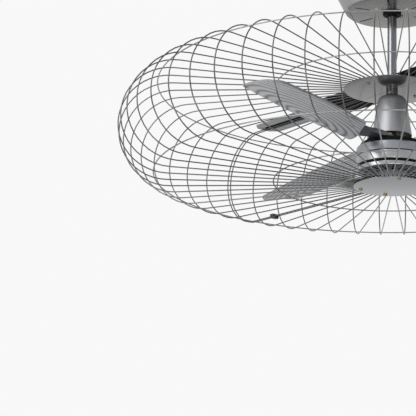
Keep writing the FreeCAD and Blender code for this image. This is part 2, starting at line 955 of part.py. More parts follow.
def rounding(x, y, radius, first, last):
    """Corners along an arc about a centre, from one turn to another."""
    corners = []
    for k in range(ROUNDING_EDGES + 1):
        turn = first + (last - first) / ROUNDING_EDGES * k
        corners.append((x + radius * cosine(turn), y + radius * sine(turn)))
    return corners


def trim_tip(body):
    """Cuts a blade's end to a slant, with its trailing corner rounded."""
    trim = new_sketch(body, "XY_Plane")
    wide = d.blade_tip_chord
    corner = d.blade_tip_corner
    beyond = blade_tip + d.blade_tip_slant
    near = blade_tip - d.blade_tip_slant
    outline = [(near, -wide / 2), (beyond, -wide), (beyond, wide), (blade_tip - corner, wide)]
    outline += rounding(blade_tip - corner, wide / 2 - corner, corner, 90, 0)
    draw(trim, outline)
    cut_through(body, trim)


def trim_root(body):
    """Cuts a blade's root back at its trailing side and rounds the leading corner."""
    trim = new_sketch(body, "XY_Plane")
    root = d.blade_root_radius
    corner = d.blade_root_corner
    half = d.blade_root_chord / 2 * cosine(d.blade_root_pitch)
    low = d.blade_root_shift - half
    high = d.blade_root_shift + half
    outline = [(root - corner, low - corner), (root + corner, low - corner)]
    outline += rounding(root + corner, low + corner, corner, 270, 180)
    outline += [
        (root + d.blade_root_slant, high),
        (root + d.blade_root_slant, high + corner),
        (root - corner, high + corner),
    ]
    draw(trim, outline)
    cut_through(body, trim)


def make_blade(number, angle):
    """One blade, flat where its iron holds it and twisted from there to its slanted tip."""
    body = new_body("Blade")
    middle = (d.blade_middle_radius - d.blade_pad_radius) / (blade_tip - d.blade_pad_radius)
    stations = (
        (d.blade_root_radius, d.blade_root_pitch, as_size(0)),
        (d.blade_pad_radius, d.blade_root_pitch, as_size(0)),
        (d.blade_middle_radius, d.blade_middle_pitch, middle),
        (blade_tip, d.blade_tip_pitch, as_size(1)),
    )
    sections = []
    for radius, pitch, share in stations:
        sketch = new_sketch(body, "YZ_Plane", offset=radius, turn=pitch)
        bind(sketch, "AttachmentOffset.Base.x", along_blade(d.blade_root_shift, d.blade_tip_shift, share))
        bind(sketch, "AttachmentOffset.Base.y", along_blade(blade_root_height, blade_tip_height, share))
        chord = along_blade(d.blade_root_chord, d.blade_tip_chord, share)
        rectangle(sketch, 0, 0, chord, d.blade_thickness)
        sections.append(sketch)
    lofted(body, sections)
    trim_tip(body)
    trim_root(body)
    bind(body, "Placement.Rotation.Angle", angle)
    keep(body, f"blade_{number}")


def pad_base():
    """Where the iron's pad lies, on the top of the blade's flat root: its shift along Y and its height."""
    lift = d.blade_thickness / 2 + d.seat
    shift = d.blade_root_shift - lift * sine(d.blade_root_pitch)
    height = lift * cosine(d.blade_root_pitch) + blade_root_height
    return shift, height


def make_iron(number, angle):
    """The arm from the flange to the top of a blade: a foot, a thick neck and a tilted pad."""
    body = new_body("BladeIron")
    half_foot = d.iron_foot_width / 2
    half_neck = d.iron_neck_width / 2
    foot = new_sketch(body, "XY_Plane", offset=flange_top)
    draw(
        foot,
        [
            (d.iron_start, -half_foot),
            (d.iron_screw_circle, -half_foot),
            (d.iron_foot_end, -half_neck),
            (d.iron_foot_end, half_neck),
            (d.iron_screw_circle, half_foot),
            (d.iron_start, half_foot),
        ],
    )
    padded(body, foot, d.iron_thickness)
    neck = new_sketch(body, "XY_Plane", offset=flange_top)
    neck_end = d.blade_root_radius - d.hole_clearance
    neck_length = neck_end - d.iron_screw_circle
    rectangle(neck, neck_end - neck_length / 2, 0, neck_length, d.iron_neck_width)
    padded(body, neck, d.iron_neck_height)
    shift, height = pad_base()
    pad = new_sketch(body, "XY_Plane", offset=height, turn=d.blade_root_pitch, axis=(1, 0, 0))
    bind(pad, "AttachmentOffset.Base.y", shift)
    pad_length = d.blade_pad_radius - d.iron_pad_start
    rectangle(pad, d.blade_pad_radius - pad_length / 2, 0, pad_length, d.iron_pad_width)
    padded(body, pad, d.iron_thickness)
    bind(body, "Placement.Rotation.Angle", angle)
    keep(body, f"blade_iron_{number}")


def make_blades():
    """Every blade with its iron, and the screws that hold the irons and the blades."""
    shift, height = pad_base()
    pad_plane = Placement(Vector(0, shift.value, height.value), Rotation(Vector(1, 0, 0), d.blade_root_pitch.value))
    foot_top = flange_top.value + d.iron_thickness.value + d.seat.value
    pad_top = d.iron_thickness.value + d.seat.value
    pad_middle = (d.blade_root_radius.value + d.blade_pad_radius.value) / 2
    iron_places = []
    blade_places = []
    for k in range(BLADES):
        angle = d.first_blade_turn + 360 / BLADES * k
        make_blade(k + 1, angle)
        make_iron(k + 1, angle)
        for side in (-1, 1):
            turn = angle.value + side * d.iron_screw_turn.value
            iron_places.append(around(d.iron_screw_circle.value, turn, foot_top))
            along_pad = Placement(Vector(pad_middle, side * d.blade_screw_spacing.value / 2, pad_top), Rotation())
            blade_places.append(around(0, angle.value, 0).multiply(pad_plane).multiply(along_pad))
    group("iron_screws", screw_head(), iron_places)
    group("blade_screws", screw_head(), blade_places)


def check_pieces():
    """Stops if anything failed to build or a piece has no sound solid."""
    for item in doc.Objects:
        if "Invalid" in item.State or "Error" in item.State:
            raise RuntimeError(f"{item.Label} failed: {item.State}")
    for piece in pieces:
        shape = piece.Shape
        if shape.isNull() or not shape.isValid() or not shape.Solids:
            raise RuntimeError(f"{piece.Label} is not a sound solid")


def write_pieces():
    """Writes each piece to a file of its own."""
    os.makedirs("parts", exist_ok=True)
    for piece in pieces:
        piece.Shape.exportStep(f"parts/{piece.Label}.step")
        print(f"{piece.Label}: {len(piece.Shape.Solids)} solids, {piece.Shape.Volume:.0f} mm3")


make_ceiling_bracket()
make_hanger()
make_canopy()
for half in ("front", "rear"):
    make_wires(half)
    make_rings(half)
    make_half_plates(half)
make_plate_fixings()
make_clips()
make_seam_arm("right", 0)
make_seam_arm("left", 180)
make_coupler()
make_cone_cover()
make_stator()
make_drum()
make_blades()
doc.recompute()
check_pieces()
write_pieces()
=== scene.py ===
"""Looks of a ceiling fan whose blades turn inside a round wire cage.

Every sub-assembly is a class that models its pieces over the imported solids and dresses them.
Lengths are in metres, heights are below the ceiling, and turns are in degrees unless named otherwise.
"""

import json
import logging
import math
from collections.abc import Callable, Iterable, Sequence
from dataclasses import dataclass
from enum import Enum

import bmesh
import bpy
from mathutils import Euler, Matrix, Vector


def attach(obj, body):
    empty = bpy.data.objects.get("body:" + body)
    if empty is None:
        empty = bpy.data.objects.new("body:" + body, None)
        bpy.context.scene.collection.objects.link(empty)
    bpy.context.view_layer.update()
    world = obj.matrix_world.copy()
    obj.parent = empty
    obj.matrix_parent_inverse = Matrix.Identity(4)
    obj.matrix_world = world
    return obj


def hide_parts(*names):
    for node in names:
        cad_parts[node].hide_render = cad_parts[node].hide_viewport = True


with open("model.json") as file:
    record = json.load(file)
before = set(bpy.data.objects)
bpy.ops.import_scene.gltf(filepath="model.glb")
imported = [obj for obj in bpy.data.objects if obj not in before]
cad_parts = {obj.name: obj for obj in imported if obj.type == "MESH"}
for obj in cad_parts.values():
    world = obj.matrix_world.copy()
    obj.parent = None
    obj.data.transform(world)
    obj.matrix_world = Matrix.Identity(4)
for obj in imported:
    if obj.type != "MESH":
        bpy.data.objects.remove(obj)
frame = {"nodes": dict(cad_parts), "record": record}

log = logging.getLogger("fan")

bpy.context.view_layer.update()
SEAT = 0.00005
TOUCH = 0.00001

# Parts of a face's normal along an axis, for telling which way the face looks
LEVEL = 0.98
SQUARE = 0.9
SLANTED = 0.7
STEEP = 0.5
RISING = 0.1

# Edges flatter than these angles are shaded smooth
FLAT_SMOOTH = 30.0
EDGE_SMOOTH = 35.0
BENT_SMOOTH = 50.0
ROUND_SMOOTH = 60.0

Point = tuple[float, float]
Triple = tuple[float, float, float]
Piece = bpy.types.Object
FaceTest = Callable[[Vector, Vector], bool]
Nodes = bpy.types.NodeTree
Socket = bpy.types.NodeSocket
Inputs = dict[str | int, object]


class Body(Enum):
    """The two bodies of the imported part."""

    STILL = "hanger"
    TURNING = "rotor"


class Half(Enum):
    """The two halves of the cage, and how far each is turned about the axis."""

    REAR = 0.0
    FRONT = 180.0

    @property
    def tag(self) -> str:
        """The half's word in the names of its pieces."""
        return self.name.lower()


class Grain(Enum):
    """How a finish varies over its surface."""

    TURNED = "fine rings round the axis, as a lathe leaves them"
    SATIN = "an even, fine speckle"
    WOOD = "long wood lines that close round an eye near the leading edge"
    MOULDED = "soft mottling"


class Facing(Enum):
    """Where the outer face of a screw head looks, as a turn about Y in degrees."""

    UP = 0.0
    OUTWARD = 90.0
    DOWN = 180.0


# Grain of the finishes
CLOUD_SCALE = 22.0
CLOUD_DETAIL = 2.0
FINE_DETAIL = 4.0
FINE_SHARE = 0.65
NOISE_ROUGHNESS = 0.6
ROUGHNESS_SWING = 0.6
TINT_ENDS = (0.25, 0.75)
RELIEF_HEIGHT = 0.001
WOOD_EYE = (0.45, 0.12, 0.0)
WOOD_STRETCH = (0.2, 0.2, 1.0)
WOOD_WAVES = {"Distortion": 2.4, "Detail": 2.0, "Detail Scale": 0.9}
WOOD_NARROWING = 0.45
WOOD_SHARE = 0.62
PORE_STRETCH = (6.0, 90.0, 1.0)
PORE_DETAIL = 5.0


def feed(tree: Nodes, node: bpy.types.Node, inputs: Inputs) -> None:
    """Links sockets into a node's inputs and sets its other inputs to constants.

    Args:
        tree: the nodes it belongs to.
        node: the node.
        inputs: the socket that leads into each input, or the input's constant.
    """
    for key, value in inputs.items():
        if isinstance(value, Socket):
            tree.links.new(value, node.inputs[key])
        else:
            node.inputs[key].default_value = value


def add_node(tree: Nodes, kind: str, inputs: Inputs, **options: object) -> bpy.types.Node:
    """Adds a node.

    Args:
        tree: the nodes that it joins.
        kind: its type.
        inputs: what its inputs are fed with.
        options: its own settings.

    Returns:
        The node.
    """
    node = tree.nodes.new(kind)
    for key, value in options.items():
        setattr(node, key, value)
    feed(tree, node, inputs)
    return node


def calculate(tree: Nodes, operation: str, *terms: Socket | float) -> Socket:
    """Returns the result of an operation on sockets and constants."""
    return add_node(tree, "ShaderNodeMath", dict(enumerate(terms)), operation=operation).outputs["Value"]


@dataclass(frozen=True)
class Finish:
    """One surface finish and the slot of the part that it belongs to, with its colour in linear light.

    Args:
        spread: how far colour and roughness swing round their means.
        scale: fineness of the grain.
        bump: height of the grain as a share of full strength.
        sheen: how strongly paint, plastic and wood reflect; 0.5 is usual.
    """

    name: str
    slot: str
    colour: Triple
    metallic: float
    roughness: float
    grain: Grain = Grain.SATIN
    spread: float = 0.12
    scale: float = 420.0
    bump: float = 0.02
    sheen: float = 0.5

    def material(self) -> bpy.types.Material:
        """Returns the finish's material, made on first use."""
        known = bpy.data.materials.get(self.name)
        if known is not None:
            return known
        look = bpy.data.materials.new(self.name)
        look.use_nodes = True
        look.diffuse_color = (*self.colour, 1.0)
        tree = look.node_tree
        level = self._wood_level(tree) if self.grain is Grain.WOOD else self._fine_level(tree)
        self._feed_shader(tree, level)
        return look

    @staticmethod
    def _noise(tree: Nodes, place: Socket, scale: float, detail: float) -> Socket:
        """Returns a noise from 0 to 1, read at a place, with its fineness and its octaves."""
        inputs = {"Vector": place, "Scale": scale, "Detail": detail, "Roughness": NOISE_ROUGHNESS}
        return add_node(tree, "ShaderNodeTexNoise", inputs).outputs["Fac"]

    @staticmethod
    def _sum(tree: Nodes, first: Socket, share: float, second: Socket) -> Socket:
        """Returns the mean of two levels in which the first has a given share."""
        rest = calculate(tree, "MULTIPLY", second, 1.0 - share)
        return calculate(tree, "MULTIPLY_ADD", first, share, rest)

    def _fine_level(self, tree: Nodes) -> Socket:
        """Adds the fine grain of metal, rubber and plastic over broad, faint clouds.

        Args:
            tree: the material's nodes.

        Returns:
            A level from 0 to 1 over the surface.
        """
        place = add_node(tree, "ShaderNodeTexCoord", {}).outputs["Object"]
        fine_place = self._ring_place(tree, place) if self.grain is Grain.TURNED else place
        fine = self._noise(tree, fine_place, self.scale, FINE_DETAIL)
        clouds = self._noise(tree, place, CLOUD_SCALE, CLOUD_DETAIL)
        return self._sum(tree, fine, FINE_SHARE, clouds)

    @staticmethod
    def _ring_place(tree: Nodes, place: Socket) -> Socket:
        """Adds coordinates that only change with the distance from the fan's axis and the height.

        Args:
            tree: the material's nodes.
            place: the piece's own coordinates.

        Returns:
            The coordinates.
        """
        split = add_node(tree, "ShaderNodeSeparateXYZ", {"Vector": place}).outputs
        flat = add_node(tree, "ShaderNodeCombineXYZ", {"X": split["X"], "Y": split["Y"]})
        reach = add_node(tree, "ShaderNodeVectorMath", {0: flat.outputs["Vector"]}, operation="LENGTH")
        rings = add_node(tree, "ShaderNodeCombineXYZ", {"X": reach.outputs["Value"], "Z": split["Z"]})
        return rings.outputs["Vector"]

    def _wood_level(self, tree: Nodes) -> Socket:
        """Adds wood lines that follow the blade's own map, and pores along them.

        Args:
            tree: the material's nodes.

        Returns:
            A level that is low in the dark lines and high between them.
        """
        chart = add_node(tree, "ShaderNodeTexCoord", {}).outputs["UV"]
        start = [-a * b for a, b in zip(WOOD_EYE, WOOD_STRETCH)]
        eye = add_node(tree, "ShaderNodeMapping", {"Vector": chart, "Location": start, "Scale": WOOD_STRETCH})
        waves = {"Vector": eye.outputs["Vector"], "Scale": self.scale, **WOOD_WAVES}
        lines = add_node(tree, "ShaderNodeTexWave", waves, wave_type="RINGS", rings_direction="Z")
        narrow = calculate(tree, "POWER", lines.outputs["Fac"], WOOD_NARROWING)
        along = add_node(tree, "ShaderNodeMapping", {"Vector": chart, "Scale": PORE_STRETCH})
        pores = self._noise(tree, along.outputs["Vector"], 1.0, PORE_DETAIL)
        return self._sum(tree, narrow, WOOD_SHARE, pores)

    def _feed_shader(self, tree: Nodes, level: Socket) -> None:
        """Lets the grain swing colour and roughness and raise the surface a little.

        Args:
            tree: the material's nodes.
            level: the grain, from 0 to 1.
        """
        tint = add_node(tree, "ShaderNodeValToRGB", {"Fac": level})
        for stop, place, side in zip(tint.color_ramp.elements, TINT_ENDS, (-1, 1)):
            stop.position = place
            stop.color = (*(min(1.0, c * (1 + side * self.spread)) for c in self.colour), 1.0)
        swing = self.spread * ROUGHNESS_SWING
        ends = {"To Min": self.roughness * (1 + swing), "To Max": self.roughness * (1 - swing)}
        rough = add_node(tree, "ShaderNodeMapRange", {"Value": level, **ends})
        heights = {"Height": level, "Strength": self.bump, "Distance": RELIEF_HEIGHT}
        relief = add_node(tree, "ShaderNodeBump", heights)
        inputs = {
            "Base Color": tint.outputs["Color"],
            "Metallic": self.metallic,
            "Roughness": rough.outputs["Result"],
            "Specular IOR Level": self.sheen,
            "Normal": relief.outputs["Normal"],
        }
        feed(tree, tree.nodes["Principled BSDF"], inputs)


# A darker copy of the satin steel for the plates and the imported satin steel solids: painted shade
SHADED_SATIN_STEEL = Finish(
    "satin_steel_shaded_look", "satin_steel", (0.128, 0.129, 0.131), 0.72, 0.15, Grain.TURNED, 0.06, 520.0, 0.01
)
COVER_STEEL = Finish(
    "cover_steel_look", "satin_steel", (0.192, 0.202, 0.212), 1.0, 0.2, Grain.TURNED, 0.04, 520.0, 0.01
)
SILVER_COAT = Finish(
    "silver_coat_look", "satin_steel", (0.25, 0.256, 0.266), 0.6, 0.42, Grain.SATIN, 0.08, 300.0, 0.01
)
ROD_TUBE = Finish(
    "rod_tube_look", "satin_steel", (0.145, 0.149, 0.156), 1.0, 0.22, Grain.SATIN, 0.08, 300.0, 0.01
)
# A darker copy of the satin steel for the coupler: painted shade
COUPLER_SHADE_STEEL = Finish(
    "coupler_shade_steel_look", "satin_steel", (0.13, 0.133, 0.14), 1.0, 0.25, Grain.SATIN, 0.1, 300.0, 0.01
)
CANOPY_BASE = Finish(
    "canopy_base_look", "satin_steel", (0.165, 0.162, 0.157), 0.85, 0.2, Grain.TURNED, 0.05, 520.0, 0.01
)
# A lighter copy of the wire finish for the rings: painted light that the level rings reflect from above
CAGE_RING_LIT = Finish("cage_ring_lit_look", "cage_wire", (0.2, 0.2, 0.199), 0.7, 0.3, Grain.SATIN, 0.12, 240.0)
CAGE_WIRE = Finish("cage_wire_look", "cage_wire", (0.095, 0.096, 0.098), 1.0, 0.2, Grain.SATIN, 0.12, 240.0)
GALVANISED = Finish(
    "galvanised_look", "galvanised", (0.10, 0.10, 0.098), 0.9, 0.45, Grain.MOULDED, 0.2, 120.0
)
DRUM_METAL = Finish(
    "drum_metal_look", "drum_metal", (0.245, 0.257, 0.278), 0.8, 0.36, Grain.TURNED, 0.07, 520.0, 0.01
)
ROTOR_IRON = Finish(
    "rotor_iron_look", "rotor_iron", (0.32, 0.325, 0.335), 1.0, 0.3, Grain.TURNED, 0.07, 520.0, 0.01
)
# Black metal; in the canopy, on the arms' ribs and in the drum cap's groove and vents it is painted shade
BLACK_METAL_AND_SHADE = Finish(
    "black_metal_and_shade_look", "black_metal", (0.007, 0.0073, 0.008), 0.0, 0.45, Grain.SATIN, 0.2, 300.0, 0.02, 0.04
)
IRON_COAT = Finish("iron_coat_look", "black_metal", (0.118, 0.122, 0.13), 0.75, 0.36, Grain.SATIN, 0.2, 300.0)
BLADE_WOOD = Finish(
    "blade_wood_look", "blade_wood", (0.33, 0.335, 0.348), 0.0, 0.4, Grain.WOOD, 0.5, 17.0, 0.05, 0.18
)
# A darker copy of the blade wood for the blades' edges: painted shade
BLADE_EDGE_SHADE = Finish(
    "blade_edge_shade_look", "blade_wood", (0.21, 0.214, 0.223), 0.0, 0.5, Grain.SATIN, 0.2, 300.0, 0.02, 0.2
)
BLACK_RUBBER = Finish(
    "black_rubber_look", "black_rubber", (0.008, 0.008, 0.008), 0.0, 0.6,
    Grain.MOULDED, 0.2, 160.0, 0.02, 0.06,
)
HANGER_PLASTIC = Finish(
    "hanger_plastic_look", "hanger_plastic", (0.05, 0.05, 0.05), 0.0, 0.45, Grain.MOULDED, 0.2, 140.0
)
CLIP_PLASTIC = Finish(
    "clip_plastic_look", "clip_plastic", (0.012, 0.012, 0.012), 0.0, 0.4, Grain.MOULDED, 0.2, 220.0
)
BRASS = Finish("brass_look", "brass", (0.27, 0.205, 0.115), 1.0, 0.34, Grain.SATIN, 0.1, 500.0)
DARK_SCREW = Finish("dark_screw_look", "dark_screw", (0.09, 0.09, 0.09), 0.9, 0.35, Grain.SATIN, 0.1, 500.0)
BEARING_STEEL = Finish(
    "bearing_steel_look", "bearing_steel", (0.5, 0.5, 0.5), 1.0, 0.22, Grain.TURNED, 0.08, 700.0
)

SOLID_FINISHES = (
    SHADED_SATIN_STEEL, CAGE_WIRE, GALVANISED, DRUM_METAL, ROTOR_IRON, BLACK_METAL_AND_SHADE, BLADE_WOOD,
    BLACK_RUBBER, HANGER_PLASTIC, CLIP_PLASTIC, BRASS, DARK_SCREW, BEARING_STEEL,
)


def clear_selection() -> None:
    """Leaves edit mode and selects nothing."""
    if bpy.context.mode != "OBJECT":
        bpy.ops.object.mode_set(mode="OBJECT")
    bpy.ops.object.select_all(action="DESELECT")


def hold(piece: Piece) -> None:
    """Selects one piece alone and makes it active."""
    clear_selection()
    piece.select_set(True)
    bpy.context.view_layer.objects.active = piece


def begin(name: str) -> Piece:
    """Names the primitive just added, puts its place into its mesh and opens it for editing.

    Args:
        name: the piece's name.

    Returns:
        The piece, in edit mode with everything selected.
    """
    piece = bpy.context.object
    piece.name = name
    piece.data.name = name
    bpy.ops.object.transform_apply(location=True, rotation=True, scale=True)
    bpy.ops.object.mode_set(mode="EDIT")
    bpy.ops.mesh.select_mode(type="VERT")
    bpy.ops.mesh.select_all(action="SELECT")
    return piece


def pick(piece: Piece, wanted: Callable[[bmesh.types.BMVert], bool]) -> None:
    """Selects the points of the piece in edit mode that pass a test.

    Args:
        piece: the piece in edit mode.
        wanted: tells whether a point is taken.
    """
    bpy.ops.mesh.select_mode(type="VERT")
    mesh = bmesh.from_edit_mesh(piece.data)
    for point in mesh.verts:
        point.select = wanted(point)
    mesh.select_flush_mode()
    bmesh.update_edit_mesh(piece.data)


def pick_faces(piece: Piece, wanted: FaceTest) -> None:
    """Selects the faces of the piece in edit mode that pass a test of their middle and normal.

    Args:
        piece: the piece in edit mode.
        wanted: tells whether a face with that middle and normal is taken.
    """
    bpy.ops.mesh.select_mode(type="FACE")
    mesh = bmesh.from_edit_mesh(piece.data)
    for face in mesh.faces:
        face.select_set(False)
    for face in mesh.faces:
        if wanted(face.calc_center_median(), face.normal):
            face.select_set(True)
    bmesh.update_edit_mesh(piece.data)


def extrude(step: Sequence[float]) -> None:
    """Extrudes what is selected by a step."""
    bpy.ops.mesh.extrude_region_move(TRANSFORM_OT_translate={"value": step})


def tilt(angle: float, centre: Sequence[float]) -> None:
    """Turns what is selected about a line along X, so that a positive angle lifts the +Y side."""
    bpy.ops.transform.rotate(value=-math.radians(angle), orient_axis="X", center_override=centre)


def shade(piece: Piece, angle: float) -> Piece:
    """Shades edges flatter than the angle smooth and returns the piece."""
    hold(piece)
    bpy.ops.object.shade_smooth_by_angle(angle=math.radians(angle))
    return piece


def close(piece: Piece, smooth: float = EDGE_SMOOTH) -> Piece:
    """Merges doubles, turns the faces outwards and ends the editing.

    Args:
        piece: the piece in edit mode.
        smooth: edges flatter than this are shaded smooth.

    Returns:
        The same piece.
    """
    bpy.ops.mesh.select_mode(type="VERT")
    bpy.ops.mesh.select_all(action="SELECT")
    bpy.ops.mesh.remove_doubles(threshold=TOUCH)
    bpy.ops.mesh.normals_make_consistent(inside=False)
    bpy.ops.object.mode_set(mode="OBJECT")
    return shade(piece, smooth)


def turned(name: str, outline: Sequence[Point], rounds: dict[int, float], steps: int = 96) -> Piece:
    """Spins an outline about the fan's axis.

    Args:
        name: the piece's name.
        outline: corners as radius and height; the last joins the first unless both lie on the axis.
        rounds: how far the corner of that number is rounded off.
        steps: straight lengths of the full turn.

    Returns:
        The piece.
    """
    clear_selection()
    first, last = outline[0], outline[-1]
    bpy.ops.mesh.primitive_plane_add(size=0.002, location=(first[0], 0.0, first[1]))
    piece = begin(name)
    bpy.ops.mesh.merge(type="CENTER")
    path = list(outline) if first[0] == last[0] == 0.0 else [*outline, first]
    for (r_from, z_from), (r_to, z_to) in zip(path, path[1:]):
        step = (r_to - r_from, 0.0, z_to - z_from)
        bpy.ops.mesh.extrude_vertices_move(TRANSFORM_OT_translate={"value": step})
    bpy.ops.mesh.select_all(action="SELECT")
    bpy.ops.mesh.remove_doubles(threshold=TOUCH)
    for number, size in rounds.items():
        corner = Vector((outline[number][0], 0.0, outline[number][1]))
        pick(piece, lambda point: (point.co - corner).length < 5 * TOUCH)
        bpy.ops.mesh.bevel(offset=size, segments=5, affect="VERTICES")
    bpy.ops.mesh.select_all(action="SELECT")
    bpy.ops.mesh.spin(steps=steps, angle=math.tau, center=(0, 0, 0), axis=(0, 0, 1))
    return close(piece)


def ring_outline(inner: float, outer: float, start: float, end: float) -> list[Point]:
    """Returns the corners of a plain ring from one height to another."""
    return [(inner, start), (outer, start), (outer, end), (inner, end)]


def dish_outline(hole: float, edge: Point, rim: Point, wall: float) -> list[Point]:
    """Finds the corners of a dished sheet: level as far as an edge, then sloping to its rim.

    Args:
        hole: radius of the hole in its middle.
        edge: radius and height of the edge.
        rim: radius and height of the rim.
        wall: thickness of the sheet.

    Returns:
        The corners, with the outer side first.
    """
    inside = edge[1] + math.copysign(wall, rim[1] - edge[1])
    outer = [(hole, edge[1]), edge, rim]
    return [*outer, (rim[0] - wall, rim[1]), (edge[0] - wall, inside), (hole, inside)]


def copied(piece: Piece, places: Iterable[Matrix], name: str) -> Piece:
    """Copies a piece to each place and joins the copies.

    Args:
        piece: the master, which is removed.
        places: where the copies go.
        name: the joined piece's name.

    Returns:
        The joined copies.
    """
    clear_selection()
    copies = []
    for place in places:
        copy = piece.copy()
        copy.data = piece.data.copy()
        copy.data.transform(place)
        bpy.context.collection.objects.link(copy)
        copies.append(copy)
    bpy.data.objects.remove(piece, do_unlink=True)
    for copy in copies:
        copy.select_set(True)
    bpy.context.view_layer.objects.active = copies[0]
    if len(copies) > 1:
        bpy.ops.object.join()
    joined = bpy.context.view_layer.objects.active
    joined.name = name
    joined.data.name = name
    return joined


def finished(piece: Piece, kind: str, **settings: object) -> Piece:
    """Adds a modifier and applies it.

    Args:
        piece: the piece to change.
        kind: type of the modifier.
        settings: its values.

    Returns:
        The same piece.
    """
    hold(piece)
    modifier = piece.modifiers.new(kind.lower(), kind)
    for key, value in settings.items():
        setattr(modifier, key, value)
    bpy.ops.object.modifier_apply(modifier=modifier.name)
    return piece


def cut_by(piece: Piece, cutter: Piece) -> Piece:
    """Takes the cutter out of the piece and removes the cutter.

    Args:
        piece: the piece to cut.
        cutter: what is taken away.

    Returns:
        The cut piece.
    """
    finished(piece, "BOOLEAN", operation="DIFFERENCE", object=cutter, solver="EXACT")
    bpy.data.objects.remove(cutter, do_unlink=True)
    return shade(piece, EDGE_SMOOTH)


def bar(name: str, size: Sequence[float], middle: Sequence[float], edge: float) -> Piece:
    """A block with softened edges.

    Args:
        name: the piece's name.
        size: lengths along X, Y and Z.
        middle: the block's middle.
        edge: width of the bevel.

    Returns:
        The piece.
    """
    clear_selection()
    bpy.ops.mesh.primitive_cube_add(size=1.0, location=middle, scale=size)
    piece = begin(name)
    bpy.ops.mesh.bevel(offset=edge, segments=3, affect="EDGES")
    return close(piece)


def slotted(piece: Piece, size: Sequence[float], start: Point, edge: float, turns: Iterable[float]) -> Piece:
    """Cuts a ring of slots that point at the axis.

    Args:
        piece: the piece to cut.
        size: length, width and height of a slot.
        start: radius of the slots' inner ends and height of their middle.
        edge: how far a slot's corners are rounded.
        turns: where the slots lie.

    Returns:
        The cut piece.
    """
    radius, height = start
    slot = bar("slot", size, (radius + size[0] / 2, 0, height), edge)
    return cut_by(piece, copied(slot, map(round_axis, turns), "slots"))


def softened(piece: Piece, width: float, segments: int, limit: float, smooth: float) -> Piece:
    """Bevels the edges that bend by more than a limit in radians, and shades the piece."""
    finished(piece, "BEVEL", width=width, segments=segments, limit_method="ANGLE", angle_limit=limit)
    return shade(piece, smooth)


def dress(piece: Piece, finish: Finish, body: Body, *nodes: str) -> Piece:
    """Gives a piece its finish, its body and the solids that it stands for.

    Args:
        piece: the modelled piece.
        finish: its finish.
        body: the body it moves with.
        nodes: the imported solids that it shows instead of.

    Returns:
        The same piece.
    """
    clear_selection()
    piece.data.materials.clear()
    piece.data.materials.append(finish.material())
    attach(piece, body.value)
    if nodes:
        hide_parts(*nodes)
    log.info("%s: %d faces, %s, on %s", piece.name, len(piece.data.polygons), finish.name, body.value)
    return piece


def coat(piece: Piece, finish: Finish, wanted: FaceTest) -> None:
    """Gives some faces of a dressed piece another finish.

    Args:
        piece: the dressed piece.
        finish: the other finish.
        wanted: tells whether a face with that middle and normal gets it.
    """
    piece.data.materials.append(finish.material())
    for face in piece.data.polygons:
        if wanted(face.center, face.normal):
            face.material_index = len(piece.data.materials) - 1


def spaced(count: int, first: float = 0.0, over: float = 360.0) -> list[float]:
    """Returns turns that share a full circle, or both ends and all between of a part of one."""
    gaps = count if over == 360.0 else count - 1
    return [first + over / gaps * k for k in range(count)]


def round_axis(turn: float) -> Matrix:
    """Returns the turn about the fan's axis as a matrix."""
    return Matrix.Rotation(math.radians(turn), 4, "Z")


@dataclass
class ScrewSet:
    """Pan heads with a crossed recess, all of one size."""

    head_radius: float = 0.0042
    head_height: float = 0.0026
    head_edge: float = 0.0012
    recess_length: float = 0.0046
    recess_width: float = 0.0010
    recess_depth: float = 0.0012
    shank_radius: float = 0.0019
    head_sides: int = 20

    def screw(self, shank: float = 0.0) -> Piece:
        """Models one screw whose head stands on the ground plane and looks up.

        Args:
            shank: length of the shank under the head, or 0 for a head alone.

        Returns:
            The screw.
        """
        clear_selection()
        high = self.head_height
        bpy.ops.mesh.primitive_cylinder_add(
            vertices=self.head_sides, radius=self.head_radius, depth=high, location=(0, 0, high / 2)
        )
        piece = begin("screw")
        if shank:
            pick_faces(piece, lambda middle, normal: normal.z < -SQUARE)
            bpy.ops.mesh.inset(thickness=self.head_radius - self.shank_radius)
            extrude((0, 0, -shank))
        pick_faces(piece, lambda middle, normal: normal.z > SQUARE and middle.z > high - TOUCH)
        bpy.ops.mesh.bevel(offset=self.head_edge, segments=3, affect="EDGES")
        close(piece, FLAT_SMOOTH)
        for turn in (0.0, 90.0):
            size = (self.recess_length, self.recess_width, self.recess_depth * 2)
            slot = bar("recess", size, (0, 0, high), self.recess_width / 8)
            cut_by(piece, copied(slot, [round_axis(turn)], "recess"))
        return piece

    def at(self, name: str, places: Iterable[Matrix], shank: float = 0.0) -> Piece:
        """Returns screws at all the places, joined under one name."""
        return copied(self.screw(shank), places, name)

    @staticmethod
    def circle(radius: float, turns: Iterable[float], height: float, facing: Facing) -> list[Matrix]:
        """Places on a circle about the fan's axis.

        Args:
            radius: the circle's radius.
            turns: where on it.
            height: height of the face under the heads.
            facing: which way the heads look.

        Returns:
            One matrix for each place.
        """
        look = Matrix.Rotation(math.radians(facing.value), 4, "Y")
        shift = Matrix.Translation((radius, 0, height))
        return [round_axis(turn) @ shift @ look for turn in turns]


SCREWS = ScrewSet()


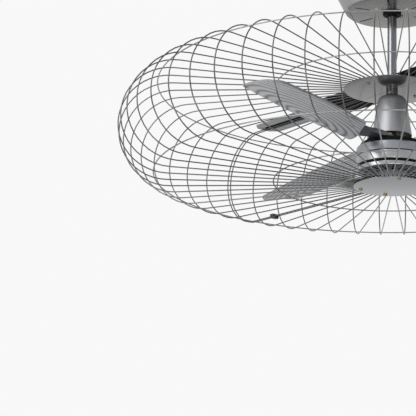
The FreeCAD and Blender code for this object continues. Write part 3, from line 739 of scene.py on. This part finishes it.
@dataclass
class Hanger:
    """Canopy under the ceiling, its collar and screws, and the rod."""

    canopy_depth: float = 0.046
    canopy_rim: float = 0.127
    canopy_base: float = 0.1035
    canopy_wall: float = 0.0024
    canopy_corner: float = 0.005
    rod_radius: float = 0.0104
    rod_low: float = -0.262
    rod_high: float = -0.006
    rod_wall: float = 0.0022
    rod_edge: float = 0.0004
    collar_radius: float = 0.0205
    collar_height: float = 0.006
    collar_rounds: Triple = (0.001, 0.0022, 0.0008)
    slot_count: int = 6
    slot_start: float = 0.054
    slot_length: float = 0.036
    slot_width: float = 0.004
    slot_rounding: float = 0.4
    slot_turn: float = 12.0
    screw_spacing: float = 0.056
    screw_shank: float = 0.015

    def canopy(self) -> Piece:
        """Returns the dished cover with its slots."""
        low, wall = -self.canopy_depth, self.canopy_wall
        hole = self.rod_radius + self.rod_edge
        outline = dish_outline(hole, (self.canopy_base, low), (self.canopy_rim, 0.0), wall)
        rounds = {1: self.canopy_corner, 4: self.canopy_corner - wall}
        piece = turned("canopy_shell", outline, rounds, steps=128)
        size = (self.slot_length, self.slot_width, wall * 8)
        turns = spaced(self.slot_count, self.slot_turn)
        return slotted(piece, size, (self.slot_start, low), self.slot_width * self.slot_rounding, turns)

    def inside(self, middle: Vector, normal: Vector) -> bool:
        """Tells whether a face of the canopy is one of its inner faces or a wall of a slot."""
        in_slots = middle.xy.length < self.slot_start + self.slot_length + TOUCH
        return normal.z > RISING or (normal.z > -STEEP and in_slots)

    def rod(self) -> Piece:
        """Returns the tube that carries the fan."""
        inner = self.rod_radius - self.rod_wall
        outline = ring_outline(inner, self.rod_radius, self.rod_low, self.rod_high)
        return turned("rod_tube", outline, {1: self.rod_edge, 2: self.rod_edge}, steps=64)

    def collar(self) -> Piece:
        """Returns the rubber ring under the canopy."""
        high = -self.canopy_depth - SEAT
        low = high - self.collar_height
        bore = self.rod_radius + SEAT
        outline = ring_outline(bore, self.collar_radius, low, high)
        return turned("collar_ring", outline, dict(enumerate(self.collar_rounds)), steps=64)

    def build(self) -> None:
        """Models and dresses the canopy, its collar, the rod and the two screws."""
        canopy = dress(self.canopy(), SILVER_COAT, Body.STILL, "canopy")
        coat(canopy, CANOPY_BASE, lambda middle, normal: normal.z < -LEVEL)
        # The canopy's inner faces and slot walls take the black as painted shade, as if a ceiling closed the
        # canopy
        coat(canopy, BLACK_METAL_AND_SHADE, self.inside)
        dress(self.rod(), ROD_TUBE, Body.STILL, "downrod")
        dress(self.collar(), BLACK_RUBBER, Body.STILL, "canopy_collar")
        places = ScrewSet.circle(self.screw_spacing / 2, (90, 270), -self.canopy_depth, Facing.DOWN)
        heads = SCREWS.at("canopy_screw_heads", places, self.screw_shank)
        dress(heads, BRASS, Body.STILL, "canopy_screws")


@dataclass
class Cage:
    """Two equal halves of bent wires with rings, plates, clips and screws."""

    middle: float = -0.3283
    bend: float = 0.109
    bend_centre: float = 0.481
    bend_steps: int = 22
    wire_radius: float = 0.0014
    wire_sides: int = 8
    top_start: float = 0.092
    top_dish: float = 0.0037
    bottom_start: float = 0.068
    bottom_dish: float = 0.0041
    wires: int = 29
    seam_gap: float = 0.008
    outer_ring: float = 0.517
    inner_ring: float = 0.260
    ring_steps: int = 64
    plate: float = 0.0015
    plate_edge: float = 0.0005
    plate_drop: float = 0.0014
    plate_seam: float = 0.001
    top_plate: float = 0.106
    bottom_plate: float = 0.080
    cover: float = 0.084
    cover_edge: float = 0.0008
    notch: float = 0.0134
    clip_circle: float = 0.410
    clip_size: Triple = (0.011, 0.019, 0.0104)
    clip_band: float = 0.0022
    clip_edge: float = 0.0016
    plate_screw_circle: float = 0.070
    cover_screw_circle: float = 0.072
    cover_screw_turn: float = 30.0

    @property
    def top_end(self) -> float:
        """Height of the wires' upper ends."""
        return self.middle + self.bend - self.top_dish

    @property
    def bottom_end(self) -> float:
        """Height of the wires' lower ends."""
        return self.middle - self.bend - self.bottom_dish

    def rod_end(self, place: Sequence[float], turn: Sequence[float]) -> None:
        """Adds the round end face of a wire, turned by angles about X, Y and Z."""
        bpy.ops.mesh.primitive_circle_add(
            vertices=self.wire_sides,
            radius=self.wire_radius,
            fill_type="NGON",
            location=place,
            rotation=[math.radians(angle) for angle in turn],
        )

    def wire(self) -> Piece:
        """Returns one wire, bent from the top plate round to the bottom plate."""
        clear_selection()
        self.rod_end((self.top_start, 0, self.top_end), (0, 90, 0))
        piece = begin("wire")
        extrude((self.bend_centre - self.top_start, 0, self.top_dish))
        bend_axis = (self.bend_centre, 0, self.middle)
        bpy.ops.mesh.spin(steps=self.bend_steps, angle=math.pi, center=bend_axis, axis=(0, -1, 0))
        extrude((self.bottom_start - self.bend_centre, 0, -self.bottom_dish))
        return close(piece, ROUND_SMOOTH)

    def half_ring(self, radius: float, height: float) -> Piece:
        """Models half a ring.

        Args:
            radius: of the ring's middle.
            height: of the ring's middle.

        Returns:
            The half ring.
        """
        clear_selection()
        self.rod_end((radius, 0, height), (90, 0, 0))
        piece = begin("half_ring")
        bpy.ops.mesh.spin(steps=self.ring_steps, angle=math.pi, center=(0, 0, 0), axis=(0, 0, 1))
        return close(piece, ROUND_SMOOTH)

    def rings(self) -> dict[str, Point]:
        """Returns the radius and height of each ring, which lies inside the wires."""
        inside = 2 * self.wire_radius
        reach = self.outer_ring - self.bend_centre
        outer = math.sqrt((self.bend - inside) ** 2 - reach**2)
        run = self.bend_centre - self.inner_ring
        upper = self.bend - inside - self.top_dish * run / (self.bend_centre - self.top_start)
        lower = self.bend - inside + self.bottom_dish * run / (self.bend_centre - self.bottom_start)
        return {
            "upper_outer_ring": (self.outer_ring, self.middle + outer),
            "lower_outer_ring": (self.outer_ring, self.middle - outer),
            "upper_inner_ring": (self.inner_ring, self.middle + upper),
            "lower_inner_ring": (self.inner_ring, self.middle - lower),
        }

    def half_plate(self, radius: float, high: float, notch: float) -> Piece:
        """Models a half disc.

        Args:
            radius: of the disc.
            high: height of its top.
            notch: radius of the opening in its middle, or 0.

        Returns:
            The half disc, on the +Y side.
        """
        low = high - self.plate
        outline = ring_outline(notch, radius, low, high)
        piece = turned("half_plate", outline, {1: self.plate_edge, 2: self.plate_edge}, steps=96)
        hold(piece)
        bpy.ops.object.mode_set(mode="EDIT")
        bpy.ops.mesh.select_all(action="SELECT")
        seam = (0, self.plate_seam / 2, 0)
        bpy.ops.mesh.bisect(plane_co=seam, plane_no=(0, 1, 0), use_fill=True, clear_inner=True)
        return close(piece)

    def clips(self) -> Piece:
        """Returns the two bands that tie the halves together under the cage."""
        share = (self.bend_centre - self.clip_circle) / (self.bend_centre - self.bottom_start)
        middle = (self.clip_circle, 0, self.middle - self.bend - self.bottom_dish * share)
        band = bar("band", self.clip_size, middle, self.clip_edge)
        length, width, height = self.clip_size
        room = (length * 2, width - 2 * self.clip_band, height - 2 * self.clip_band)
        cut_by(band, bar("room", room, middle, self.clip_edge / 2))
        return copied(band, map(round_axis, (0, 180)), "seam_bands")

    def build_half(self, half: Half) -> None:
        """Models and dresses the wires, rings and plates of one half.

        Args:
            half: which half.
        """
        turned_half = round_axis(half.value)
        shifted = turned_half @ Matrix.Translation((0, self.seam_gap / 2, 0))
        turns = spaced(self.wires, 0.0, 180.0)
        wires = copied(self.wire(), [shifted @ round_axis(turn) for turn in turns], f"wires_{half.tag}")
        dress(wires, CAGE_WIRE, Body.STILL, f"cage_wires_{half.tag}")
        for name, (radius, height) in self.rings().items():
            ring = copied(self.half_ring(radius, height), [shifted], f"{name}_bar_{half.tag}")
            # The rings take the lighter copy of the wire finish: painted light
            dress(ring, CAGE_RING_LIT, Body.STILL, f"{name}_{half.tag}")
        plates = (
            ("top_half", "top_plate", self.top_plate, self.top_end, self.notch),
            ("low_half", "bottom_plate", self.bottom_plate, self.bottom_end, 0.0),
        )
        for name, node, radius, end, notch in plates:
            plate = self.half_plate(radius, end - self.plate_drop, notch)
            plate = copied(plate, [turned_half], f"{name}_{half.tag}")
            # The plates take the darker copy of the satin steel: painted shade
            dress(plate, SHADED_SATIN_STEEL, Body.STILL, f"{node}_{half.tag}")

    def build(self) -> None:
        """Models and dresses both halves, the cover, clips and screws."""
        for half in Half:
            self.build_half(half)
        high = self.bottom_end - self.plate_drop - self.plate
        low = high - self.plate
        outline = ring_outline(0.0, self.cover, low, high)
        cover = turned("cover_disc", outline, {1: self.cover_edge}, steps=128)
        dress(cover, COVER_STEEL, Body.STILL, "bottom_cover")
        dress(self.clips(), CLIP_PLASTIC, Body.STILL, "seam_clips")
        under_plate = self.top_end - self.plate_drop - self.plate
        places = ScrewSet.circle(self.plate_screw_circle, (90, 270), under_plate, Facing.DOWN)
        dress(SCREWS.at("plate_screw_heads", places), BRASS, Body.STILL, "plate_screws")
        turns = [side + lean for side in (0, 180) for lean in (-self.cover_screw_turn, self.cover_screw_turn)]
        places = ScrewSet.circle(self.cover_screw_circle, turns, low, Facing.DOWN)
        dress(SCREWS.at("cover_screw_heads", places), BRASS, Body.STILL, "cover_screws")


@dataclass
class SeamArms:
    """Two flat arms on top of the cage, one along each seam, with a pressed rib near the end."""

    start: float = 0.080
    shoulder: float = 0.165
    neck: float = 0.290
    end: float = 0.460
    root_width: float = 0.108
    front_extra: float = 0.007
    width: float = 0.072
    corner: float = 0.018
    thickness: float = 0.002
    rib_start: float = 0.300
    rib_width: float = 0.024
    rib_rise: float = 0.005
    rib_taper: Triple = (0.97, 0.84, 1.0)
    edge: float = 0.0005
    rest: float = -0.22247
    slope: float = 0.0095

    @property
    def rib_end(self) -> float:
        """Distance of the rib's end from the axis."""
        return self.end - self.corner

    def in_rib(self, middle: Vector) -> bool:
        """Tells whether a place lies in the rib of either arm."""
        return self.rib_start < abs(middle.x) < self.rib_end and abs(middle.y) < self.rib_width / 2 + TOUCH

    def beside_rib(self, middle: Vector, normal: Vector) -> bool:
        """Tells whether a face lies on the narrow part of either arm, round its rib."""
        return abs(middle.x) > self.neck and not self.in_rib(middle)

    def arm(self, front: int) -> Piece:
        """Models one level arm along X: a sheet drawn out in spans, with its rib pressed up.

        Args:
            front: which side of the arm looks to the front, 1 or -1 along Y.

        Returns:
            The arm.
        """
        clear_selection()
        length = self.shoulder - self.start
        root = (self.start + length / 2, 0, 0)
        bpy.ops.mesh.primitive_plane_add(size=1.0, location=root)
        piece = begin("arm")
        bpy.ops.transform.resize(value=(length, self.root_width, 1), center_override=root)
        pick(piece, lambda point: point.co.x > self.shoulder - TOUCH)
        spans = (
            (self.neck, self.width / self.root_width),
            (self.rib_start, 1.0),
            (self.rib_end, 1.0),
            (self.end, 1 - 2 * self.corner / self.width),
        )
        reached = self.shoulder
        for goal, wide in spans:
            extrude((goal - reached, 0, 0))
            bpy.ops.transform.resize(value=(1, wide, 1), center_override=(goal, 0, 0))
            reached = goal
        pick(piece, lambda point: point.co.x < self.shoulder + TOUCH and point.co.y * front > 0)
        bpy.ops.transform.translate(value=(0, front * self.front_extra, 0))
        for side in (-1, 1):
            bpy.ops.mesh.select_all(action="SELECT")
            line = (0, side * self.rib_width / 2, 0)
            bpy.ops.mesh.bisect(plane_co=line, plane_no=(0, 1, 0))
        pick_faces(piece, lambda middle, normal: self.in_rib(middle))
        extrude((0, 0, self.rib_rise))
        rib_middle = ((self.rib_start + self.rib_end) / 2, 0, self.rib_rise)
        bpy.ops.transform.resize(value=self.rib_taper, center_override=rib_middle)
        close(piece, FLAT_SMOOTH)
        finished(piece, "SOLIDIFY", thickness=self.thickness, offset=0.0, use_even_offset=True)
        return softened(piece, self.edge, segments=2, limit=0.6, smooth=EDGE_SMOOTH)

    def build(self) -> None:
        """Models and dresses both arms: black from the axis to the neck and on the rib, satin round the rib.
        """
        lift = Matrix.Translation((0, 0, self.rest + self.thickness / 2))
        lean = Matrix.Rotation(-math.atan(self.slope), 4, "Y")
        for side, turn, front in (("right", 0.0, -1), ("left", 180.0, 1)):
            arm = copied(self.arm(front), [round_axis(turn) @ lift @ lean], f"arm_{side}")
            dress(arm, BLACK_METAL_AND_SHADE, Body.STILL, f"seam_arm_{side}")
            # The black left on each rib is painted shade in its pressed hollow
            coat(arm, SILVER_COAT, self.beside_rib)


@dataclass
class MotorHead:
    """Cone over the coupler and the turning drum under it."""

    cone_top: float = -0.240
    cone_low: float = -0.332
    cone_top_radius: float = 0.0305
    cone_low_radius: float = 0.044
    cone_wall: float = 0.002
    cone_shoulder: float = 0.016
    cone_edge: float = 0.0006
    coupler_radius: float = 0.0134
    drum_bore: float = 0.010
    drum_radius: float = 0.078
    drum_top: float = -0.360
    drum_split: float = -0.381
    drum_band: float = -0.401
    drum_end: float = -0.4155
    drum_groove: float = 0.0009
    lid_wall: float = 0.004
    lid_round: float = 0.004
    band_wall: float = 0.012
    band_round: float = 0.0018
    neck_radius: float = 0.0735
    neck_wall: float = 0.004
    lip_radius: float = 0.076
    lip_height: float = 0.0095
    lip_rounds: Point = (0.0025, 0.001)
    cap_wall: float = 0.003
    vent_count: int = 18
    vent_start: float = 0.032
    vent_length: float = 0.034
    vent_width: float = 0.0055
    vent_rounding: float = 0.3
    flange_radius: float = 0.066
    flange_rounds: Point = (0.0006, 0.0015)
    flange_top: float = -0.349
    coupler_screws: tuple[Point, Point] = ((0.013, -0.2334), (0.017, -0.284))
    coupler_screw_turn: float = -60.0

    def cone(self) -> Piece:
        """Returns the cone cover with its rounded shoulder."""
        edge, rim = (self.cone_top_radius, self.cone_top), (self.cone_low_radius, self.cone_low)
        outline = dish_outline(self.coupler_radius, edge, rim, self.cone_wall)
        rounds = {1: self.cone_shoulder, 2: self.cone_edge, 4: self.cone_shoulder - self.cone_wall}
        return turned("cone_shell", outline, rounds, steps=96)

    def lid(self) -> Piece:
        """Returns the drum's upper shell with its rounded edge."""
        edge, rim = (self.drum_radius, self.drum_top), (self.drum_radius, self.drum_split + self.drum_groove)
        outline = dish_outline(self.drum_bore, edge, rim, self.lid_wall)
        rounds = {1: self.lid_round, 2: self.drum_groove, 4: self.lid_round / 2}
        return turned("drum_lid_shell", outline, rounds, steps=128)

    def band(self) -> Piece:
        """Returns the drum's lower band."""
        inner = self.drum_radius - self.band_wall
        outline = ring_outline(inner, self.drum_radius, self.drum_split - self.drum_groove, self.drum_band)
        rounds = {1: self.drum_groove, 2: self.band_round}
        return turned("drum_band_ring", outline, rounds, steps=128)

    def cap(self) -> Piece:
        """Returns the slotted cap under the drum."""
        lip = self.drum_end + self.lip_height
        floor = self.drum_end + self.cap_wall
        inner = self.neck_radius - self.neck_wall
        outline = [
            (0.0, self.drum_end),
            (self.lip_radius, self.drum_end),
            (self.lip_radius, lip),
            (self.neck_radius, lip),
            (self.neck_radius, self.drum_band),
            (inner, self.drum_band),
            (inner, floor),
            (0.0, floor),
        ]
        piece = turned("vent_cap", outline, dict(enumerate(self.lip_rounds, start=1)), steps=128)
        size = (self.vent_length, self.vent_width, self.cap_wall * 6)
        start = (self.vent_start, self.drum_end)
        edge = self.vent_width * self.vent_rounding
        return slotted(piece, size, start, edge, spaced(self.vent_count))

    def flange(self) -> Piece:
        """Returns the plate on the drum that the blade irons stand on."""
        outline = ring_outline(self.drum_bore, self.flange_radius, self.drum_top, self.flange_top)
        return turned("iron_flange", outline, dict(enumerate(self.flange_rounds, start=1)), steps=96)

    def build(self) -> None:
        """Models and dresses the cone, the drum, the flange and the coupler's screws."""
        dress(self.cone(), SILVER_COAT, Body.STILL, "cone_cover")
        dress(self.lid(), DRUM_METAL, Body.TURNING, "drum_lid")
        dress(self.band(), ROTOR_IRON, Body.TURNING, "drum_rotor")
        cap = dress(self.cap(), BLACK_METAL_AND_SHADE, Body.TURNING, "drum_cap")
        # The cap stays black on its neck, its vent walls and inside; in the groove above the lip and in the
        # vents this black is painted shade
        rim, under = (self.lip_radius + self.neck_radius) / 2, self.drum_end + self.cap_wall
        coat(cap, ROTOR_IRON, lambda middle, normal: middle.xy.length > rim and normal.z > -SLANTED)
        coat(cap, DRUM_METAL, lambda middle, normal: middle.z < under and normal.z < -SLANTED)
        dress(self.flange(), BLACK_METAL_AND_SHADE, Body.TURNING, "blade_flange")
        places = []
        for radius, height in self.coupler_screws:
            places += ScrewSet.circle(radius, [self.coupler_screw_turn], height, Facing.OUTWARD)
        dress(SCREWS.at("coupler_screw_heads", places), BRASS, Body.STILL, "coupler_screws")


@dataclass(frozen=True)
class Station:
    """One cross-section of a blade iron: its middle, width, height and tilt."""

    x: float
    y: float
    z: float
    width: float
    height: float
    tilt: float

    @property
    def middle(self) -> Triple:
        """The section's middle."""
        return (self.x, self.y, self.z)


@dataclass
class BladeSet:
    """Three twisted blades with their irons and screws."""

    count: int = 3
    first_turn: float = 49.4
    root: float = 0.108
    pad: float = 0.160
    bend: float = 0.320
    tip: float = 0.541
    root_chord: float = 0.056
    tip_chord: float = 0.094
    root_shift: float = -0.015
    tip_shift: float = 0.0
    root_pitch: float = 27.0
    bend_pitch: float = 11.0
    tip_pitch: float = -7.0
    root_depth: float = 0.350
    tip_depth: float = 0.360
    root_corner: float = 0.018
    root_slant: float = 0.024
    tip_corner: float = 0.026
    tip_slant: float = 0.020
    thickness: float = 0.005
    camber: float = 0.003
    lip: float = 0.14
    lip_rise: float = 0.0035
    edge: float = 0.0012
    edge_lean: float = 0.75
    rows: int = 48
    columns: int = 20
    line_reach: float = 0.2
    iron_thickness: float = 0.003
    iron_start: float = 0.044
    iron_foot: float = 0.062
    iron_neck: float = 0.030
    iron_neck_height: float = 0.011
    iron_pad: float = 0.044
    iron_edge: float = 0.0011
    iron_screw_circle: float = 0.057
    iron_screw_turn: float = 24.0
    iron_screw_radius: float = 0.0048
    iron_screw_height: float = 0.0052
    blade_screw_spacing: float = 0.026
    flange_top: float = -0.349

    def share(self, radius: float) -> float:
        """Returns how far a radius lies from the pad's end to the tip, from 0 to 1."""
        return max(0.0, (radius - self.pad) / (self.tip - self.pad))

    def between(self, at_root: float, at_tip: float, radius: float) -> float:
        """Returns a size that runs evenly from the pad to the tip."""
        return at_root + (at_tip - at_root) * self.share(radius)

    def pitch(self, radius: float) -> float:
        """Returns the pitch at a radius: even on the pad, then bent through three given pitches."""
        half, share = self.share(self.bend), self.share(radius)
        fall = self.tip_pitch - self.root_pitch
        sag = (self.bend_pitch - self.root_pitch - fall * half) / (half * (half - 1))
        return self.root_pitch + fall * share + sag * share * (share - 1)

    def across(self, column: int) -> float:
        """Returns where a column lies across the blade, from 0 to 1, closer together at both edges."""
        return 0.5 - 0.5 * math.cos(math.pi * column / self.columns)

    def root_end(self, across: float) -> float:
        """Returns the radius where a column starts: slanted, with the leading corner rounded."""
        inset, corner = across * self.root_chord, self.root_corner
        if inset < corner:
            return self.root + corner - math.sqrt(corner**2 - (corner - inset) ** 2)
        return self.root + self.root_slant * (inset - corner) / (self.root_chord - corner)

    def tip_end(self, across: float) -> float:
        """Returns the radius where a column ends: slanted, with the trailing corner rounded."""
        inset, corner = (1 - across) * self.tip_chord, self.tip_corner
        if inset < corner:
            return self.tip - corner + math.sqrt(corner**2 - (corner - inset) ** 2)
        return self.tip - self.tip_slant * (inset - corner) / (self.tip_chord - corner)

    def pick_line(self, piece: Piece, axis: int, number: int) -> None:
        """Selects one row or column of the sheet by its place in the blade's own map.

        Args:
            piece: the sheet in edit mode.
            axis: 0 for a row, 1 for a column.
            number: the line, from the root or from the leading edge.
        """
        count = (self.rows, self.columns)[axis]
        chart = bmesh.from_edit_mesh(piece.data).loops.layers.uv.active
        pick(piece, lambda point: abs(point.link_loops[0][chart].uv[axis] * count - number) < self.line_reach)

    def blade(self) -> Piece:
        """Returns one blade along X: a sheet with columns drawn out, then rows widened and turned."""
        clear_selection()
        bpy.ops.mesh.primitive_grid_add(
            x_subdivisions=self.rows, y_subdivisions=self.columns, size=1.0, location=(0.5, 0, 0)
        )
        piece = begin("blade")
        for column in range(self.columns + 1):
            self._shape_column(piece, column)
        for row in range(self.rows + 1):
            self._shape_row(piece, row)
        self._even_chart(piece)
        close(piece, ROUND_SMOOTH)
        finished(piece, "SOLIDIFY", thickness=self.thickness, offset=0.0, use_even_offset=True)
        return softened(piece, self.edge, segments=2, limit=0.9, smooth=BENT_SMOOTH)

    def _shape_column(self, piece: Piece, column: int) -> None:
        """Gives a column of the sheet its place and ends, its crown and its share of the raised rear lip.

        Args:
            piece: the sheet in edit mode.
            column: its number from the leading edge.
        """
        across = self.across(column)
        start, end = self.root_end(across), self.tip_end(across)
        crown = self.camber * (1 - (2 * across - 1) ** 2)
        crown += self.lip_rise * max(0.0, across - 1 + self.lip) / self.lip
        self.pick_line(piece, 1, column)
        bpy.ops.transform.resize(value=(end - start, 1, 1), center_override=(0, 0, 0))
        bpy.ops.transform.translate(value=(start, across - column / self.columns, crown))

    def _shape_row(self, piece: Piece, row: int) -> None:
        """Widens, turns and places a row of the sheet.

        Args:
            piece: the sheet in edit mode.
            row: its number from the root.
        """
        radius = self.root + (self.tip - self.root) * row / self.rows
        chord = self.between(self.root_chord, self.tip_chord, radius)
        shift = self.between(self.root_shift, self.tip_shift, radius)
        depth = self.between(self.root_depth, self.tip_depth, radius)
        self.pick_line(piece, 0, row)
        bpy.ops.transform.resize(value=(1, chord, 1), center_override=(0, 0, 0))
        tilt(self.pitch(radius), (0, 0, 0))
        bpy.ops.transform.translate(value=(0, shift, -depth))

    def _even_chart(self, piece: Piece) -> None:
        """Lets the blade's map follow its moved columns.

        Args:
            piece: the sheet in edit mode.
        """
        mesh = bmesh.from_edit_mesh(piece.data)
        chart = mesh.loops.layers.uv.active
        for face in mesh.faces:
            for corner in face.loops:
                corner[chart].uv.y = self.across(round(corner[chart].uv.y * self.columns))
        bmesh.update_edit_mesh(piece.data)

    def stations(self) -> list[Station]:
        """Returns the sections of an iron, from the outer end of its foot to the end of its pad."""
        thick, pitch, tall = self.iron_thickness, self.root_pitch, self.iron_neck_height
        lean = math.radians(pitch)
        lift = self.thickness / 2 + thick / 2 + self.camber + SEAT
        pad_y = self.root_shift - lift * math.sin(lean)
        pad_z = lift * math.cos(lean) - self.root_depth
        foot = self.flange_top + thick / 2
        neck = self.flange_top + tall / 2
        return [
            Station(self.iron_screw_circle, 0.0, foot, self.iron_foot, thick, 0.0),
            Station(0.071, 0.0, neck, self.iron_neck * 1.2, tall, 0.0),
            Station(0.084, pad_y * 0.25, neck, self.iron_neck, tall, pitch * 0.3),
            Station(0.098, pad_y * 0.8, (neck + pad_z) / 2, self.iron_neck * 1.05, tall * 0.5, pitch * 0.8),
            Station(0.112, pad_y, pad_z, self.iron_neck * 1.15, thick, pitch),
            Station(0.128, pad_y, pad_z, self.iron_pad, thick, pitch),
            Station(self.pad - 0.012, pad_y, pad_z, self.iron_pad, thick, pitch),
            Station(self.pad, pad_y, pad_z, self.iron_pad * 0.6, thick, pitch),
        ]

    def iron(self) -> Piece:
        """Returns one arm along X: a foot on the flange drawn out to a neck and a tilted pad."""
        clear_selection()
        stations = self.stations()
        last = stations[0]
        reach = last.x - self.iron_start
        bpy.ops.mesh.primitive_cube_add(
            size=1.0, location=(last.x - reach / 2, 0, last.z), scale=(reach, last.width, last.height)
        )
        piece = begin("iron")
        pick_faces(piece, lambda middle, normal: normal.x > SQUARE)
        for station in stations[1:]:
            extrude(Vector(station.middle) - Vector(last.middle))
            tilt(-last.tilt, station.middle)
            growth = (1, station.width / last.width, station.height / last.height)
            bpy.ops.transform.resize(value=growth, center_override=station.middle)
            tilt(station.tilt, station.middle)
            last = station
        close(piece)
        return softened(piece, self.iron_edge, segments=3, limit=0.5, smooth=BENT_SMOOTH)

    def screw_places(self) -> tuple[list[Matrix], list[Matrix]]:
        """Returns the places of the screws through the irons' feet and of those through their pads."""
        lean = Matrix.Rotation(math.radians(self.root_pitch), 4, "X")
        lift = self.thickness / 2 + self.iron_thickness + self.camber + 2 * SEAT
        base = Matrix.Translation((0, self.root_shift, -self.root_depth))
        foot_top = self.flange_top + self.iron_thickness
        middle = (self.root + self.pad) / 2
        feet, pads = [], []
        for turn in spaced(self.count, self.first_turn):
            for side in (-1, 1):
                foot_turn = turn + side * self.iron_screw_turn
                feet += ScrewSet.circle(self.iron_screw_circle, [foot_turn], foot_top, Facing.UP)
                on_pad = Matrix.Translation((middle, side * self.blade_screw_spacing / 2, lift))
                pads.append(round_axis(turn) @ base @ lean @ on_pad)
        return feet, pads

    def build(self) -> None:
        """Models one blade and one iron, copies them round the drum and dresses them."""
        for number, turn in enumerate(spaced(self.count, self.first_turn), start=1):
            place = [round_axis(turn)]
            blade = copied(self.blade(), place, f"blade_sheet_{number}")
            dress(blade, BLADE_WOOD, Body.TURNING, f"blade_{number}")
            # The edges take the darker copy of the wood: painted shade
            coat(blade, BLADE_EDGE_SHADE, lambda middle, normal: abs(normal.z) < self.edge_lean)
            iron = copied(self.iron(), place, f"iron_arm_{number}")
            dress(iron, IRON_COAT, Body.TURNING, f"blade_iron_{number}")
        feet, pads = self.screw_places()
        large = ScrewSet(self.iron_screw_radius, self.iron_screw_height)
        dress(large.at("iron_screw_heads", feet), BRASS, Body.TURNING, "iron_screws")
        dress(SCREWS.at("blade_screw_heads", pads), DARK_SCREW, Body.TURNING, "blade_screws")


@dataclass
class Studio:
    """Pale floor, soft light and the camera that took the picture."""

    floor_height: float = -5.2
    floor_size: float = 380.0
    floor_colour: tuple[float, float, float, float] = (0.6, 0.6, 0.6, 1.0)
    floor_roughness: float = 0.9
    camera_place: Triple = (2.7336, -2.4613, -1.3929)
    camera_heading: float = 138.0
    camera_pitch: float = 20.03
    focal_pixels: float = 1745.9
    frame_pixels: float = 416.0
    centre_pixels: Point = (392.07, 16.0)
    sensor: float = 36.0
    sight: float = 400.0
    paper: float = 0.94
    floor_glow: float = 0.55
    ambient: float = 0.52
    aim: Triple = (0.0, 0.0, -0.33)
    lamps: tuple[tuple[str, float, float, float, float, float], ...] = (
        ("key", -88.0, 25.0, 3.2, 2.4, 85.0),
        ("fill", -106.0, -26.0, 4.0, 2.6, 55.0),
        ("front", -34.0, -28.0, 4.0, 2.0, 60.0),
    )

    def camera(self) -> None:
        """Sets up the camera."""
        data = bpy.data.cameras.new("camera")
        data.sensor_fit = "HORIZONTAL"
        data.sensor_width = self.sensor
        data.lens = self.focal_pixels / self.frame_pixels * self.sensor
        data.shift_x = 0.5 - self.centre_pixels[0] / self.frame_pixels
        data.shift_y = self.centre_pixels[1] / self.frame_pixels - 0.5
        data.clip_end = self.sight
        eye = bpy.data.objects.new("camera", data)
        eye.location = self.camera_place
        turn = Euler((math.radians(90 + self.camera_pitch), 0, math.radians(self.camera_heading - 90)), "XYZ")
        eye.rotation_euler = turn
        bpy.context.scene.collection.objects.link(eye)
        bpy.context.scene.camera = eye

    @staticmethod
    def _looked_at(tree: Nodes) -> Socket:
        """Returns a socket that is 1 where the camera or a reflection looks."""
        path = add_node(tree, "ShaderNodeLightPath", {}).outputs
        total = path["Is Camera Ray"]
        for other in ("Is Glossy Ray", "Is Transmission Ray"):
            total = calculate(tree, "MAXIMUM", total, path[other])
        return total

    def world(self) -> None:
        """Sets up the white surroundings."""
        world = bpy.data.worlds.new("surroundings")
        bpy.context.scene.world = world
        world.use_nodes = True
        tree = world.node_tree
        light = tree.nodes["Background"]
        feed(tree, light, {"Color": (1, 1, 1, 1), "Strength": self.ambient})
        seen = add_node(tree, "ShaderNodeBackground", {"Color": (1, 1, 1, 1), "Strength": self.paper})
        sides = {"Fac": self._looked_at(tree), 1: light.outputs["Background"], 2: seen.outputs["Background"]}
        mix = add_node(tree, "ShaderNodeMixShader", sides)
        feed(tree, tree.nodes["World Output"], {"Surface": mix.outputs["Shader"]})

    def floor(self) -> None:
        """Lays the pale floor well below the fan."""
        clear_selection()
        bpy.ops.mesh.primitive_plane_add(size=self.floor_size, location=(0, 0, self.floor_height))
        ground = bpy.context.object
        ground.name = "floor"
        look = bpy.data.materials.new("floor_paper")
        look.use_nodes = True
        tree = look.node_tree
        shader = tree.nodes["Principled BSDF"]
        feed(tree, shader, {"Base Color": self.floor_colour, "Roughness": self.floor_roughness})
        level = calculate(tree, "MULTIPLY", self._looked_at(tree), self.floor_glow)
        glow = add_node(tree, "ShaderNodeEmission", {"Strength": level})
        both = add_node(tree, "ShaderNodeAddShader", {0: shader.outputs["BSDF"], 1: glow.outputs["Emission"]})
        feed(tree, tree.nodes["Material Output"], {"Surface": both.outputs["Shader"]})
        ground.data.materials.append(look)

    def lamp(self, name: str, turn: float, rise: float, away: float, size: float, power: float) -> None:
        """Hangs one soft lamp that looks at the fan.

        Args:
            name: the lamp's name.
            turn: its direction from the fan, about the axis.
            rise: its height angle as seen from the fan.
            away: its distance.
            size: width of its square face.
            power: in watts.
        """
        data = bpy.data.lights.new(name, "AREA")
        data.size = size
        data.energy = power
        lamp = bpy.data.objects.new(name, data)
        aim = Vector(self.aim)
        lean = Euler((0, -math.radians(rise), math.radians(turn)), "XYZ")
        lamp.location = aim + lean.to_matrix() @ Vector((away, 0, 0))
        lamp.rotation_euler = (aim - lamp.location).to_track_quat("-Z", "Y").to_euler()
        bpy.context.scene.collection.objects.link(lamp)

    def build(self) -> None:
        """Sets up camera, surroundings, floor and lamps."""
        bpy.context.scene.view_settings.view_transform = "Standard"
        self.camera()
        self.world()
        self.floor()
        for sizes in self.lamps:
            self.lamp(*sizes)


def dress_solids() -> None:
    """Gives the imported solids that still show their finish."""
    looks = {finish.slot: finish for finish in SOLID_FINISHES}
    slots = {entry["node"]: entry["material_slot"] for entry in frame["record"]["subparts"]}
    for name, node in frame["nodes"].items():
        # The coupler takes the darker copy of the satin steel: painted shade
        finish = COUPLER_SHADE_STEEL if name == "coupler" else looks[slots[name]]
        node.data.materials.clear()
        node.data.materials.append(finish.material())


def main() -> None:
    """Builds every sub-assembly in order, then the studio."""
    logging.basicConfig(level=logging.INFO, format="%(message)s")
    dress_solids()
    for assembly in (Hanger(), Cage(), SeamArms(), MotorHead(), BladeSet(), Studio()):
        assembly.build()


if __name__ == "__main__":
    main()
